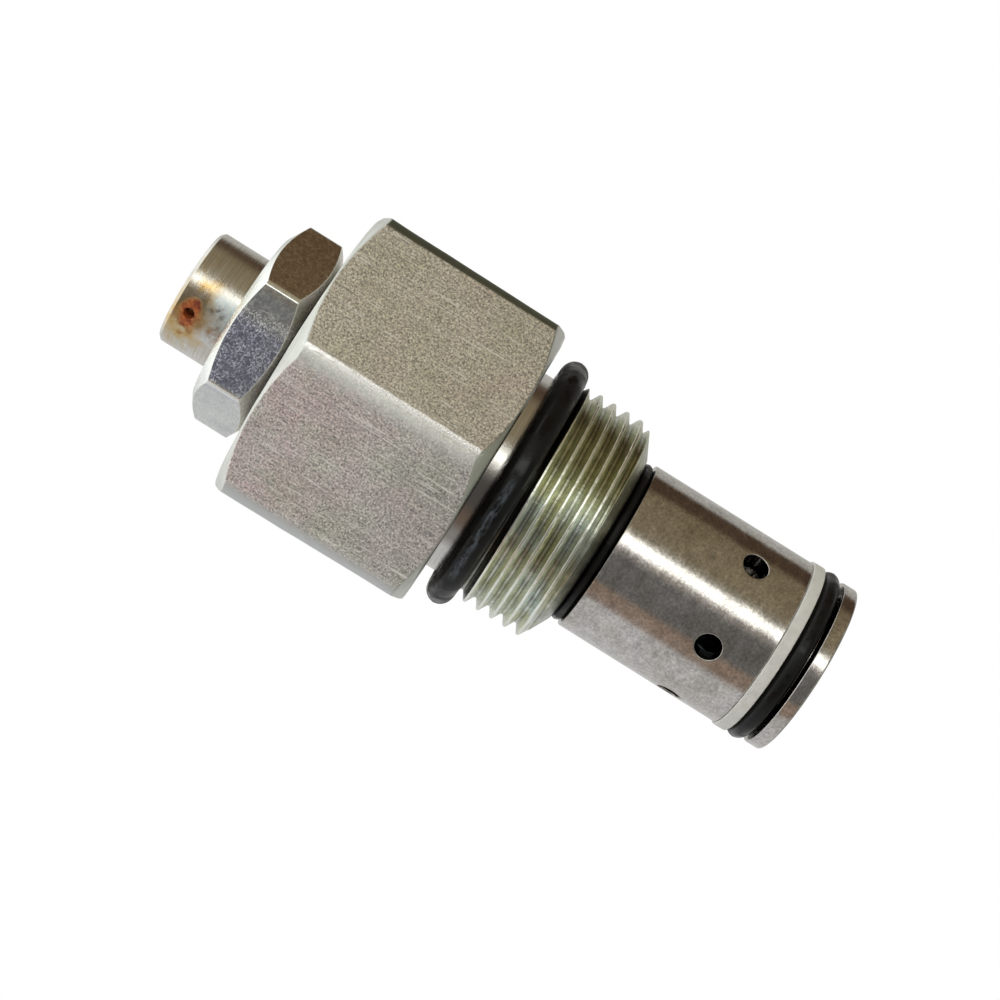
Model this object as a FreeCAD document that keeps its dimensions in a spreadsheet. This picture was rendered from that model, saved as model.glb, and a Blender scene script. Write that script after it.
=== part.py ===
import FreeCAD, Part
import os
import re
import Sketcher

# Pilot-operated relief valve, screw-in cartridge pattern.
# Frame: +Z from the nose to the adjuster, origin at the centre of the hexagon's
# underside, which is the face that seats on the manifold. Millimetres.
# A name that ends in _z is a height above that face; one that ends in _depth is
# a distance below it.

SIZES = {
    # hexagon of the plug, a forging with a slight draft towards the seat face
    "hex_width": 30.0,
    "hex_height": 21.0,
    "hex_draft_deg": 0.5,
    "hex_corner_radius": 1.8,
    "hex_top_circle": 14.8,
    "hex_seat_circle": 14.7,
    "bevel_reach": 4.0,
    "bevel_rise": 2.309,  # 30 degree bevel: bevel_reach times tan 30
    # shallow turned relief round the port seal: the face outside it bears on the manifold
    "seat_relief_radius": 13.7,
    "seat_relief_height": 0.25,
    # plug below the hexagon: seal groove, M24 x 1.5 thread and its end cone
    "neck_radius": 10.82,
    "neck_depth": 1.6,
    "seal_groove_radius": 10.76,
    "thread_start_depth": 4.0,
    "thread_lead_radius": 11.15,
    "thread_full_depth": 4.6,
    "thread_major": 11.9,
    "thread_minor": 10.98,
    "thread_full_end_depth": 11.35,
    "thread_end_depth": 11.65,
    "thread_end_radius": 11.3,
    "plug_end_radius": 9.1,
    "plug_end_depth": 12.8,
    "thread_pitch": 1.5,
    "thread_cut_outer": 11.95,
    "thread_cut_mouth": 0.684,
    "thread_cut_root": 0.125,
    "thread_cut_depth": 12.65,
    "thread_cut_height": 9.0,
    # bores of the plug, from the top down
    "screw_bore": 6.05,
    "screw_bore_mouth": 7.85,
    "screw_bore_mouth_drop": 0.8,
    "screw_bore_z": 13.0,
    "seal_bore": 5.0,
    "seal_bore_top_z": 12.6,
    "chamber_z": 6.5,
    "chamber_radius": 6.5,
    "chamber_depth": 8.9,
    "sleeve_socket_radius": 7.52,
    # adjusting screw, M12 x 1
    "screw_radius": 6.0,
    "screw_top_z": 33.15,
    "screw_edge": 0.35,
    "screw_thread_z": 14.8,
    "screw_thread_edge": 0.6,
    "spigot_radius": 4.95,
    "spigot_end_z": 3.2,
    "spigot_edge": 0.3,
    "screw_groove_radius": 3.5,
    "screw_groove_low_z": 8.2,
    "screw_groove_high_z": 10.8,
    "clip_groove_radius": 4.25,
    "clip_groove_low_z": 4.05,
    "clip_groove_high_z": 4.95,
    "socket_width": 6.0,
    "socket_depth": 5.6,
    "wire_hole_radius": 0.55,
    "wire_hole_z": 31.3,
    "wire_hole_angle": -114.8,
    # lock nut, M12 x 1, 19 mm across flats
    "nut_width": 19.0,
    "nut_low_z": 21.5,
    "nut_high_z": 27.4,
    "nut_turned_radius": 10.85,
    "nut_face_circle": 8.4,
    "nut_bevel_rise": 1.415,  # 30 degree bevel
    "nut_mouth_radius": 6.6,
    "nut_mouth_drop": 0.55,
    "nut_angle": -9.8,
    "washer_radius": 8.3,
    "washer_bore": 6.15,
    # seals on the adjusting screw
    "screw_seal_centre": 4.24,
    "screw_seal_section": 0.72,
    "screw_seal_z": 9.0,
    "screw_backup_low_z": 9.78,
    "screw_backup_high_z": 10.75,
    "screw_backup_inner": 3.55,
    # stop clip
    "clip_outer": 6.2,
    "clip_inner": 4.3,
    "clip_low_z": 4.1,
    "clip_thickness": 0.8,
    "clip_gap": 3.0,
    # spring seat and shim
    "seat_disc_radius": 6.45,
    "seat_disc_z": 1.6,
    "seat_boss_radius": 2.7,
    "seat_boss_depth": 0.8,
    "boss_edge": 0.4,
    "shim_inner": 2.85,
    "shim_outer": 4.6,
    "shim_z": 1.2,
    # pilot spring, poppet and seat
    "pilot_coil_radius": 3.65,
    "pilot_wire": 0.5,
    "pilot_pitch": 1.69,
    "pilot_flange_radius": 4.4,
    "pilot_flange_depth": 6.4,
    "pilot_flange_end_depth": 7.4,
    "pilot_boss_radius": 2.6,
    "pilot_boss_depth": 4.8,
    "pilot_stem_radius": 1.45,
    "pilot_cone_depth": 7.9,
    "pilot_tip_radius": 0.25,
    "pilot_tip_depth": 9.9,
    "pilot_hole": 0.9,
    "pilot_hole_depth": 10.0,
    "pilot_seat_flange": 7.45,
    "pilot_seat_radius": 4.97,
    "pilot_seat_feed": 1.5,
    "pilot_seat_feed_depth": 10.4,
    "pilot_seat_groove": 4.0,
    "pilot_seat_groove_top_depth": 10.9,
    "pilot_seat_groove_end_depth": 12.1,
    "pilot_seat_end_depth": 13.2,
    "pilot_seal_centre": 4.5,
    "pilot_seal_section": 0.46,
    "pilot_seal_depth": 11.5,
    # sleeve
    "sleeve_radius": 8.95,
    "sleeve_bore": 5.0,
    "sleeve_top_depth": 10.3,
    "sleeve_spigot_radius": 7.5,
    "sleeve_shoulder_depth": 13.95,
    "sleeve_edge": 0.2,
    "ring_radius": 6.8,
    "ring_top_depth": 24.2,
    "ring_end_depth": 28.3,
    "valve_seat_outer": 4.6,
    "valve_seat_end_depth": 29.0,
    "inlet_radius": 3.75,
    "inlet_edge": 0.55,
    "nose_groove_radius": 7.35,
    "nose_groove_depth": 31.6,
    "nose_land_depth": 35.1,
    "nose_land_radius": 8.93,
    "nose_edge": 0.25,
    "nose_depth": 36.6,
    "port_radius": 1.3,
    "port_depth": 26.3,
    "port_angle": 8.7,
    "drain_radius": 0.5,
    "drain_circle": 6.4,
    # main poppet
    "poppet_radius": 4.975,
    "poppet_top_depth": 15.3,
    "poppet_guide_end_depth": 24.8,
    "poppet_neck_radius": 4.55,
    "poppet_neck_depth": 25.1,
    "poppet_cone_depth": 28.28,
    "poppet_tip_radius": 3.0,
    "poppet_cone_end_depth": 29.558,
    "poppet_tip_depth": 30.0,
    "poppet_bore": 3.5,
    "poppet_floor_depth": 23.5,
    "poppet_edge": 0.3,
    "balance_groove_radius": 4.7,
    "balance_groove_depth": 18.0,
    "balance_groove_width": 0.5,
    "balance_groove_spacing": 2.0,
    "orifice_thread": 1.5,
    "orifice_thread_end_depth": 26.0,
    "orifice_hole": 0.4,
    "orifice_end_depth": 25.6,
    "orifice_slot_width": 0.5,
    "orifice_slot_drop": 0.5,
    "strainer_bore": 2.2,
    "strainer_radius": 2.15,
    "strainer_top_depth": 29.2,
    "strainer_end_depth": 29.55,
    "strainer_hole": 0.25,
    "strainer_circle": 1.2,
    "strainer_clip_inner": 1.7,
    "strainer_clip_end_depth": 29.95,
    # main spring
    "main_coil_radius": 3.0,
    "main_wire": 0.35,
    "main_pitch": 1.28,
    # outer seals
    "port_seal_centre": 12.13,
    "port_seal_section": 1.35,
    "port_seal_depth": 2.65,
    "junction_seal_centre": 8.13,
    "junction_seal_section": 0.56,
    "junction_seal_depth": 13.375,
    "nose_backup_inner": 7.38,
    "nose_backup_outer": 9.15,
    "nose_backup_top_depth": 31.62,
    "nose_backup_end_depth": 32.85,
    "nose_seal_centre": 8.29,
    "nose_seal_section": 0.91,
    "nose_seal_depth": 33.87,
    # length by which a cutter runs past the face that it opens
    "overrun": 1.0,
}

doc = FreeCAD.newDocument("cartridge_valve")
sheet = doc.addObject("Spreadsheet::Sheet", "Dims")
pieces = []


def fill_sheet():
    """One row for each size: its name, and its value with that name as alias."""
    for row, (name, size) in enumerate(SIZES.items(), start=1):
        sheet.set("A%d" % row, name)
        sheet.set("B%d" % row, str(size))
        sheet.setAlias("B%d" % row, name)
    doc.recompute()


def bound(text):
    """The expression with every size's name pointed at the sheet."""
    return re.sub(r"\b(?!sqrt\b)([a-z]\w+)", r"Dims.\1", text)


def value(text):
    """The number that an expression of sizes gives."""
    found = sheet.evalExpression(bound(text))
    return float(getattr(found, "Value", found))


def add(kind, name, **sizes):
    """A primitive whose properties are bound to expressions of sizes."""
    shape = doc.addObject(kind, name)
    for key, text in sizes.items():
        shape.setExpression(key, bound(text))
    return shape


def keep(piece, label):
    """Marks an object as a finished sub-part."""
    piece.Label = label
    pieces.append(piece)
    return piece


def plane(body, role):
    """One of the body's own origin planes."""
    for feature in body.Origin.OriginFeatures:
        if feature.Role == role:
            return feature
    raise ValueError("no plane " + role)


def new_sketch(body, name, role):
    sketch = body.newObject("Sketcher::SketchObject", name)
    sketch.AttachmentSupport = (plane(body, role), "")
    sketch.MapMode = "FlatFace"
    return sketch


def pin_point(sketch, line, kind, axis, text):
    """Holds a line's start at an expression's distance from one sketch axis."""
    size = value(text)
    if abs(size) < 1e-9:
        sketch.addConstraint(Sketcher.Constraint("PointOnObject", line, 1, axis))
        return
    index = sketch.addConstraint(Sketcher.Constraint(kind, -1, 1, line, 1, size))
    sketch.setExpression("Constraints[%d]" % index, bound(text))


def closed_profile(sketch, points):
    """A closed outline through points given as pairs of expressions."""
    corners = [FreeCAD.Vector(value(x), value(y), 0) for x, y in points]
    count = len(corners)
    for i in range(count):
        sketch.addGeometry(Part.LineSegment(corners[i], corners[(i + 1) % count]), False)
    for i in range(count):
        sketch.addConstraint(Sketcher.Constraint("Coincident", i, 2, (i + 1) % count, 1))
    for i, (x, y) in enumerate(points):
        pin_point(sketch, i, "DistanceX", -2, x)
        pin_point(sketch, i, "DistanceY", -1, y)


def turn(body, kind, name, points):
    """A Revolution or Groove of a (radius, height) outline about Z."""
    sketch = new_sketch(body, name + "_outline", "XZ_Plane")
    closed_profile(sketch, points)
    feature = body.newObject("PartDesign::" + kind, name)
    feature.Profile = sketch
    feature.ReferenceAxis = (sketch, ["V_Axis"])
    feature.Angle = 360
    doc.recompute()
    return feature


def turned(name, points):
    """A body that is turned about Z from one outline."""
    body = doc.addObject("PartDesign::Body", name)
    turn(body, "Revolution", name + "_turned", points)
    return body


def ring(name, inner, outer, low, high):
    """A flat ring between two radii and two heights."""
    return turned(name, [(inner, low), (outer, low), (outer, high), (inner, high)])


def o_ring(name, centre, section, height):
    seal = add("Part::Torus", name, Radius1=centre, Radius2=section)
    seal.setExpression("Placement.Base.z", bound(height))
    return seal


def prism(name, width, height, base, angle):
    """A hexagonal bar, with one corner at the angle from +X."""
    bar = add("Part::Prism", name, Circumradius=width + " / sqrt(3)", Height=height)
    bar.Polygon = 6
    bar.Placement = FreeCAD.Placement(
        FreeCAD.Vector(0, 0, value(base)), FreeCAD.Rotation(FreeCAD.Vector(0, 0, 1), value(angle))
    )
    bar.setExpression("Placement.Base.z", bound(base))
    return bar


def drill(name, radius, length, base, towards):
    """A cylinder that cuts a straight hole."""
    hole = add("Part::Cylinder", name, Radius=radius, Height=length)
    hole.Placement = FreeCAD.Placement(base, FreeCAD.Rotation(FreeCAD.Vector(0, 0, 1), towards))
    return hole


def around(angle, radius, height):
    """The point at an angle in degrees, a radius and a height."""
    arm = FreeCAD.Rotation(FreeCAD.Vector(0, 0, 1), angle).multVec(FreeCAD.Vector(radius, 0, 0))
    return arm + FreeCAD.Vector(0, 0, height)


def cut(name, base, tools):
    """The base with every tool taken away."""
    tool = tools[0]
    if len(tools) > 1:
        tool = doc.addObject("Part::MultiFuse", name + "_tools")
        tool.Shapes = tools
    result = doc.addObject("Part::Cut", name)
    result.Base = base
    result.Tool = tool
    doc.recompute()
    return result


def coil(name, radius, wire, pitch, low, high):
    """A compression spring with its ends ground flat at two heights."""
    length = "(%s) - (%s)" % (high, low)
    helix = add("Part::Helix", name + "_line", Radius=radius, Pitch=pitch, Height=length)
    section = add("Part::Circle", name + "_wire", Radius=wire)
    section.Placement = FreeCAD.Placement(
        FreeCAD.Vector(value(radius), 0, 0), FreeCAD.Rotation(FreeCAD.Vector(1, 0, 0), -90)
    )
    section.setExpression("Placement.Base.x", bound(radius))
    doc.recompute()
    sweep = doc.addObject("Part::Sweep", name + "_sweep")
    sweep.Sections = [section]
    sweep.Spine = (helix, ["Edge1"])
    sweep.Solid = True
    sweep.Frenet = True
    room = add("Part::Cylinder", name + "_ground", Radius=radius + " + 2 * " + wire, Height=length)
    doc.recompute()
    ground = doc.addObject("Part::Common", name)
    ground.Base = room
    ground.Tool = sweep
    ground.setExpression("Placement.Base.z", bound(low))
    doc.recompute()
    return ground


def hexagon_pad(body):
    """The drafted hexagon, corners on Y, with its six long edges rounded."""
    sketch = new_sketch(body, "hex_outline", "XY_Plane")
    across = value("hex_width") / 3 ** 0.5
    corners = [around(30 + 60 * i, across, 0) for i in range(6)]
    for i in range(6):
        sketch.addGeometry(Part.LineSegment(corners[i], corners[(i + 1) % 6]), False)
    for i in range(6):
        sketch.addConstraint(Sketcher.Constraint("Coincident", i, 2, (i + 1) % 6, 1))
    for i in range(5):
        sketch.addConstraint(Sketcher.Constraint("Equal", i, i + 1))
    rim = sketch.addGeometry(Part.Circle(FreeCAD.Vector(0, 0, 0), FreeCAD.Vector(0, 0, 1), across), True)
    sketch.addConstraint(Sketcher.Constraint("Coincident", rim, 3, -1, 1))
    for i in range(6):
        sketch.addConstraint(Sketcher.Constraint("PointOnObject", i, 1, rim))
    sketch.addConstraint(Sketcher.Constraint("PointOnObject", 1, 1, -2))
    index = sketch.addConstraint(Sketcher.Constraint("Radius", rim, across))
    sketch.setExpression("Constraints[%d]" % index, bound("hex_width / sqrt(3)"))
    sketch.AttachmentOffset = FreeCAD.Placement(
        FreeCAD.Vector(0, 0, value("hex_height")), FreeCAD.Rotation()
    )
    sketch.setExpression("AttachmentOffset.Base.z", bound("hex_height"))
    pad = body.newObject("PartDesign::Pad", "hex_pad")
    pad.Profile = sketch
    pad.setExpression("Length", bound("hex_height"))
    pad.setExpression("TaperAngle", bound("-hex_draft_deg"))
    pad.Reversed = True
    doc.recompute()
    long_edges = [
        "Edge%d" % (i + 1)
        for i, edge in enumerate(pad.Shape.Edges)
        if edge.BoundBox.ZLength > value("hex_height") / 2
    ]
    rounds = body.newObject("PartDesign::Fillet", "hex_rounds")
    rounds.Base = (pad, long_edges)
    rounds.setExpression("Radius", bound("hex_corner_radius"))
    doc.recompute()


def plug_body():
    body = doc.addObject("PartDesign::Body", "plug")
    hexagon_pad(body)
    turn(body, "Groove", "top_bevel", [
        ("hex_top_circle", "hex_height"),
        ("hex_top_circle + bevel_reach", "hex_height"),
        ("hex_top_circle + bevel_reach", "hex_height - bevel_rise"),
    ])
    turn(body, "Groove", "seat_bevel", [
        ("hex_seat_circle", "0"),
        ("hex_seat_circle + bevel_reach", "bevel_rise"),
        ("hex_seat_circle + bevel_reach", "0"),
    ])
    turn(body, "Groove", "seat_relief", [
        ("0", "0"),
        ("seat_relief_radius", "0"),
        ("seat_relief_radius", "seat_relief_height"),
        ("0", "seat_relief_height"),
    ])
    turn(body, "Revolution", "stem", [
        ("0", "overrun"),
        ("neck_radius", "overrun"),
        ("neck_radius", "-neck_depth"),
        ("seal_groove_radius", "-neck_depth"),
        ("seal_groove_radius", "-thread_start_depth"),
        ("thread_lead_radius", "-thread_start_depth"),
        ("thread_major", "-thread_full_depth"),
        ("thread_major", "-thread_full_end_depth"),
        ("thread_end_radius", "-thread_end_depth"),
        ("plug_end_radius", "-plug_end_depth"),
        ("0", "-plug_end_depth"),
    ])
    turn(body, "Groove", "bores", [
        ("0", "hex_height + overrun"),
        ("screw_bore_mouth", "hex_height + overrun"),
        ("screw_bore", "hex_height - screw_bore_mouth_drop"),
        ("screw_bore", "screw_bore_z"),
        ("seal_bore", "seal_bore_top_z"),
        ("seal_bore", "chamber_z"),
        ("chamber_radius", "chamber_z"),
        ("chamber_radius", "-chamber_depth"),
        ("sleeve_socket_radius", "-chamber_depth"),
        ("sleeve_socket_radius", "-plug_end_depth - overrun"),
        ("0", "-plug_end_depth - overrun"),
    ])
    thread = new_sketch(body, "thread_outline", "XZ_Plane")
    closed_profile(thread, [
        ("thread_minor", "-thread_cut_depth - thread_cut_root"),
        ("thread_cut_outer", "-thread_cut_depth - thread_cut_mouth"),
        ("thread_cut_outer", "-thread_cut_depth + thread_cut_mouth"),
        ("thread_minor", "-thread_cut_depth + thread_cut_root"),
    ])
    helix = body.newObject("PartDesign::SubtractiveHelix", "thread_cut")
    helix.Profile = thread
    helix.ReferenceAxis = (thread, ["V_Axis"])
    helix.Mode = "pitch-height-angle"
    helix.setExpression("Pitch", bound("thread_pitch"))
    helix.setExpression("Height", bound("thread_cut_height"))
    helix.LeftHanded = False
    helix.Reversed = False
    doc.recompute()
    keep(body, "plug_body")


def adjuster_screw():
    blank = turned("screw_blank", [
        ("0", "screw_top_z"),
        ("screw_radius - screw_edge", "screw_top_z"),
        ("screw_radius", "screw_top_z - screw_edge"),
        ("screw_radius", "screw_thread_z + screw_thread_edge"),
        ("screw_radius - screw_thread_edge", "screw_thread_z"),
        ("spigot_radius", "screw_thread_z"),
        ("spigot_radius", "screw_groove_high_z"),
        ("screw_groove_radius", "screw_groove_high_z"),
        ("screw_groove_radius", "screw_groove_low_z"),
        ("spigot_radius", "screw_groove_low_z"),
        ("spigot_radius", "clip_groove_high_z"),
        ("clip_groove_radius", "clip_groove_high_z"),
        ("clip_groove_radius", "clip_groove_low_z"),
        ("spigot_radius", "clip_groove_low_z"),
        ("spigot_radius", "spigot_end_z + spigot_edge"),
        ("spigot_radius - spigot_edge", "spigot_end_z"),
        ("0", "spigot_end_z"),
    ])
    socket = prism("drive_socket", "socket_width", "socket_depth + overrun", "screw_top_z - socket_depth", "0")
    angle = value("wire_hole_angle")
    start = around(angle, -value("screw_radius + overrun"), value("wire_hole_z"))
    wire_hole = drill(
        "wire_hole", "wire_hole_radius", "2 * (screw_radius + overrun)", start, around(angle, 1, 0)
    )
    keep(cut("screw", blank, [socket, wire_hole]), "adjuster_screw")


def lock_nut():
    bar = prism("nut_bar", "nut_width", "nut_high_z - nut_low_z", "nut_low_z", "nut_angle")
    envelope = turned("nut_envelope", [
        ("screw_bore", "nut_low_z + nut_mouth_drop"),
        ("nut_mouth_radius", "nut_low_z"),
        ("nut_face_circle", "nut_low_z"),
        ("nut_turned_radius", "nut_low_z + nut_bevel_rise"),
        ("nut_turned_radius", "nut_high_z - nut_bevel_rise"),
        ("nut_face_circle", "nut_high_z"),
        ("nut_mouth_radius", "nut_high_z"),
        ("screw_bore", "nut_high_z - nut_mouth_drop"),
    ])
    nut = doc.addObject("Part::Common", "nut")
    nut.Base = bar
    nut.Tool = envelope
    doc.recompute()
    keep(nut, "lock_nut")


def screw_fittings():
    """What sits on the adjusting screw and under its nut."""
    washer = ring("nut_washer", "washer_bore", "washer_radius", "hex_height", "nut_low_z")
    keep(washer, "nut_seal_washer")
    seal = o_ring("screw_seal", "screw_seal_centre", "screw_seal_section", "screw_seal_z")
    keep(seal, "adjuster_seal")
    backup = ring(
        "screw_backup", "screw_backup_inner", "spigot_radius", "screw_backup_low_z", "screw_backup_high_z"
    )
    keep(backup, "adjuster_backup_ring")
    clip = ring("clip_ring", "clip_inner", "clip_outer", "clip_low_z", "clip_low_z + clip_thickness")
    gap = add("Part::Box", "clip_gap", Length="clip_outer + overrun", Width="clip_gap", Height="clip_thickness")
    gap.setExpression("Placement.Base.y", bound("-clip_gap / 2"))
    gap.setExpression("Placement.Base.z", bound("clip_low_z"))
    keep(cut("clip", clip, [gap]), "adjuster_stop_clip")


def pilot_stage():
    """The spring that sets the pressure, the pilot poppet and its seat."""
    seat = turned("upper_seat", [
        ("0", "spigot_end_z"),
        ("seat_disc_radius", "spigot_end_z"),
        ("seat_disc_radius", "seat_disc_z"),
        ("seat_boss_radius", "seat_disc_z"),
        ("seat_boss_radius", "-seat_boss_depth + boss_edge"),
        ("seat_boss_radius - boss_edge", "-seat_boss_depth"),
        ("0", "-seat_boss_depth"),
    ])
    keep(seat, "spring_seat")
    keep(ring("shim", "shim_inner", "shim_outer", "shim_z", "seat_disc_z"), "spring_shim")
    spring = coil("pilot_coil", "pilot_coil_radius", "pilot_wire", "pilot_pitch", "-pilot_flange_depth", "shim_z")
    keep(spring, "pilot_spring")
    poppet = turned("pilot_cone", [
        ("0", "-pilot_boss_depth"),
        ("pilot_boss_radius - boss_edge", "-pilot_boss_depth"),
        ("pilot_boss_radius", "-pilot_boss_depth - boss_edge"),
        ("pilot_boss_radius", "-pilot_flange_depth"),
        ("pilot_flange_radius", "-pilot_flange_depth"),
        ("pilot_flange_radius", "-pilot_flange_end_depth"),
        ("pilot_stem_radius", "-pilot_flange_end_depth"),
        ("pilot_stem_radius", "-pilot_cone_depth"),
        ("pilot_tip_radius", "-pilot_tip_depth"),
        ("0", "-pilot_tip_depth"),
    ])
    keep(poppet, "pilot_poppet")
    blank = turned("pilot_seat_blank", [
        ("pilot_hole", "-chamber_depth"),
        ("pilot_seat_flange", "-chamber_depth"),
        ("pilot_seat_flange", "-sleeve_top_depth"),
        ("pilot_seat_radius", "-sleeve_top_depth"),
        ("pilot_seat_radius", "-pilot_seat_groove_top_depth"),
        ("pilot_seat_groove", "-pilot_seat_groove_top_depth"),
        ("pilot_seat_groove", "-pilot_seat_groove_end_depth"),
        ("pilot_seat_radius", "-pilot_seat_groove_end_depth"),
        ("pilot_seat_radius", "-pilot_seat_end_depth"),
        ("pilot_seat_feed", "-pilot_seat_end_depth"),
        ("pilot_seat_feed", "-pilot_seat_feed_depth"),
        ("pilot_hole", "-pilot_hole_depth"),
    ])
    drains = drain_drills("seat_drain", "sleeve_top_depth + overrun", "sleeve_top_depth")
    keep(cut("pilot_seat_ring", blank, drains), "pilot_seat")
    seal = o_ring("pilot_seal", "pilot_seal_centre", "pilot_seal_section", "-pilot_seal_depth")
    keep(seal, "pilot_seat_seal")


def drain_drills(name, low_depth, length):
    """Cutters for the two long drain drillings, one each side of the axis."""
    drills = []
    for number, angle in enumerate((0, 180)):
        start = around(angle, value("drain_circle"), -value(low_depth))
        hole = drill("%s_%d" % (name, number), "drain_radius", length, start, FreeCAD.Vector(0, 0, 1))
        drills.append(hole)
    return drills


def sleeve():
    blank = turned("sleeve_blank", [
        ("sleeve_bore", "-sleeve_top_depth"),
        ("sleeve_spigot_radius", "-sleeve_top_depth"),
        ("sleeve_spigot_radius", "-sleeve_shoulder_depth"),
        ("sleeve_radius - sleeve_edge", "-sleeve_shoulder_depth"),
        ("sleeve_radius", "-sleeve_shoulder_depth - sleeve_edge"),
        ("sleeve_radius", "-nose_groove_depth + sleeve_edge"),
        ("sleeve_radius - sleeve_edge", "-nose_groove_depth"),
        ("nose_groove_radius", "-nose_groove_depth"),
        ("nose_groove_radius", "-nose_land_depth"),
        ("nose_land_radius - nose_edge", "-nose_land_depth"),
        ("nose_land_radius", "-nose_land_depth - nose_edge"),
        ("nose_land_radius", "-nose_depth + nose_edge"),
        ("nose_land_radius - nose_edge", "-nose_depth"),
        ("inlet_radius + inlet_edge", "-nose_depth"),
        ("inlet_radius", "-nose_depth + inlet_edge"),
        ("inlet_radius", "-valve_seat_end_depth"),
        ("valve_seat_outer", "-ring_end_depth"),
        ("ring_radius", "-ring_end_depth"),
        ("ring_radius", "-ring_top_depth"),
        ("sleeve_bore", "-ring_top_depth"),
    ])
    ports = []
    for number in range(6):
        angle = value("port_angle") + 60 * number
        start = around(angle, value("sleeve_bore"), -value("port_depth"))
        hole = drill("port_%d" % number, "port_radius", "sleeve_radius", start, around(angle, 1, 0))
        ports.append(hole)
    drains = drain_drills("sleeve_drain", "ring_top_depth + overrun", "ring_top_depth")
    keep(cut("sleeve_tube", blank, ports + drains), "sleeve")


def main_poppet():
    outline = [
        ("poppet_bore", "-poppet_top_depth"),
        ("poppet_radius - poppet_edge", "-poppet_top_depth"),
        ("poppet_radius", "-poppet_top_depth - poppet_edge"),
    ]
    for number in range(3):
        top = "-balance_groove_depth - %d * balance_groove_spacing" % number
        outline.append(("poppet_radius", top))
        outline.append(("balance_groove_radius", top))
        outline.append(("balance_groove_radius", top + " - balance_groove_width"))
        outline.append(("poppet_radius", top + " - balance_groove_width"))
    outline += [
        ("poppet_radius", "-poppet_guide_end_depth"),
        ("poppet_neck_radius", "-poppet_neck_depth"),
        ("poppet_neck_radius", "-poppet_cone_depth"),
        ("poppet_tip_radius", "-poppet_cone_end_depth"),
        ("poppet_tip_radius", "-poppet_tip_depth"),
        ("strainer_bore", "-poppet_tip_depth"),
        ("strainer_bore", "-orifice_thread_end_depth"),
        ("orifice_thread", "-orifice_thread_end_depth"),
        ("orifice_thread", "-poppet_floor_depth"),
        ("poppet_bore", "-poppet_floor_depth"),
    ]
    keep(turned("poppet", outline), "main_poppet")
    spring = coil(
        "main_coil", "main_coil_radius", "main_wire", "main_pitch", "-poppet_floor_depth", "-pilot_seat_end_depth"
    )
    keep(spring, "main_spring")
    plug = ring("orifice_plug", "orifice_hole", "orifice_thread", "-orifice_end_depth", "-poppet_floor_depth")
    slot = add(
        "Part::Box",
        "orifice_slot",
        Length="2 * orifice_thread + overrun",
        Width="orifice_slot_width",
        Height="orifice_slot_drop + overrun",
    )
    slot.setExpression("Placement.Base.x", bound("-orifice_thread - overrun / 2"))
    slot.setExpression("Placement.Base.y", bound("-orifice_slot_width / 2"))
    slot.setExpression("Placement.Base.z", bound("-poppet_floor_depth - orifice_slot_drop"))
    keep(cut("orifice", plug, [slot]), "orifice_screw")
    strainer()


def strainer():
    """The perforated disc ahead of the orifice, and the clip that holds it."""
    disc = turned("strainer_blank", [
        ("0", "-strainer_top_depth"),
        ("strainer_radius", "-strainer_top_depth"),
        ("strainer_radius", "-strainer_end_depth"),
        ("0", "-strainer_end_depth"),
    ])
    holes = []
    for number in range(7):
        radius = value("strainer_circle") if number else 0
        start = around(60 * number, radius, -value("strainer_end_depth + overrun"))
        hole = drill("strainer_%d" % number, "strainer_hole", "3 * overrun", start, FreeCAD.Vector(0, 0, 1))
        holes.append(hole)
    keep(cut("strainer_disc", disc, holes), "strainer")
    clip = ring(
        "strainer_ring",
        "strainer_clip_inner",
        "strainer_radius",
        "-strainer_clip_end_depth",
        "-strainer_end_depth",
    )
    keep(clip, "strainer_clip")


def outer_seals():
    keep(o_ring("seat_o_ring", "port_seal_centre", "port_seal_section", "-port_seal_depth"), "port_seal")
    junction = o_ring(
        "junction_o_ring", "junction_seal_centre", "junction_seal_section", "-junction_seal_depth"
    )
    keep(junction, "junction_seal")
    backup = ring(
        "nose_backup",
        "nose_backup_inner",
        "nose_backup_outer",
        "-nose_backup_end_depth",
        "-nose_backup_top_depth",
    )
    keep(backup, "nose_backup_ring")
    keep(o_ring("nose_o_ring", "nose_seal_centre", "nose_seal_section", "-nose_seal_depth"), "nose_seal")


def check_all():
    """Stops if any object failed or any sub-part has no valid solid."""
    doc.recompute()
    for item in doc.Objects:
        if "Invalid" in item.State or "Error" in item.State:
            raise RuntimeError("%s failed: %s" % (item.Label, item.State))
    for piece in pieces:
        shape = piece.Shape
        if shape.isNull() or not shape.isValid() or not shape.Solids:
            raise RuntimeError(piece.Label + " has no valid solid")


def write_all():
    os.makedirs("parts", exist_ok=True)
    for piece in pieces:
        piece.Shape.exportStep(os.path.join("parts", piece.Label + ".step"))
        box = piece.Shape.BoundBox
        print(
            "%-22s %8.2f mm3  r %.2f  z %.2f to %.2f"
            % (piece.Label, piece.Shape.Volume, box.XMax, box.ZMin, box.ZMax)
        )


fill_sheet()
plug_body()
sleeve()
adjuster_screw()
lock_nut()
screw_fittings()
pilot_stage()
main_poppet()
outer_seals()
check_all()
write_all()
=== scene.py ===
import math

import bmesh
import bpy
import numpy as np
from mathutils import Matrix, Vector


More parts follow.
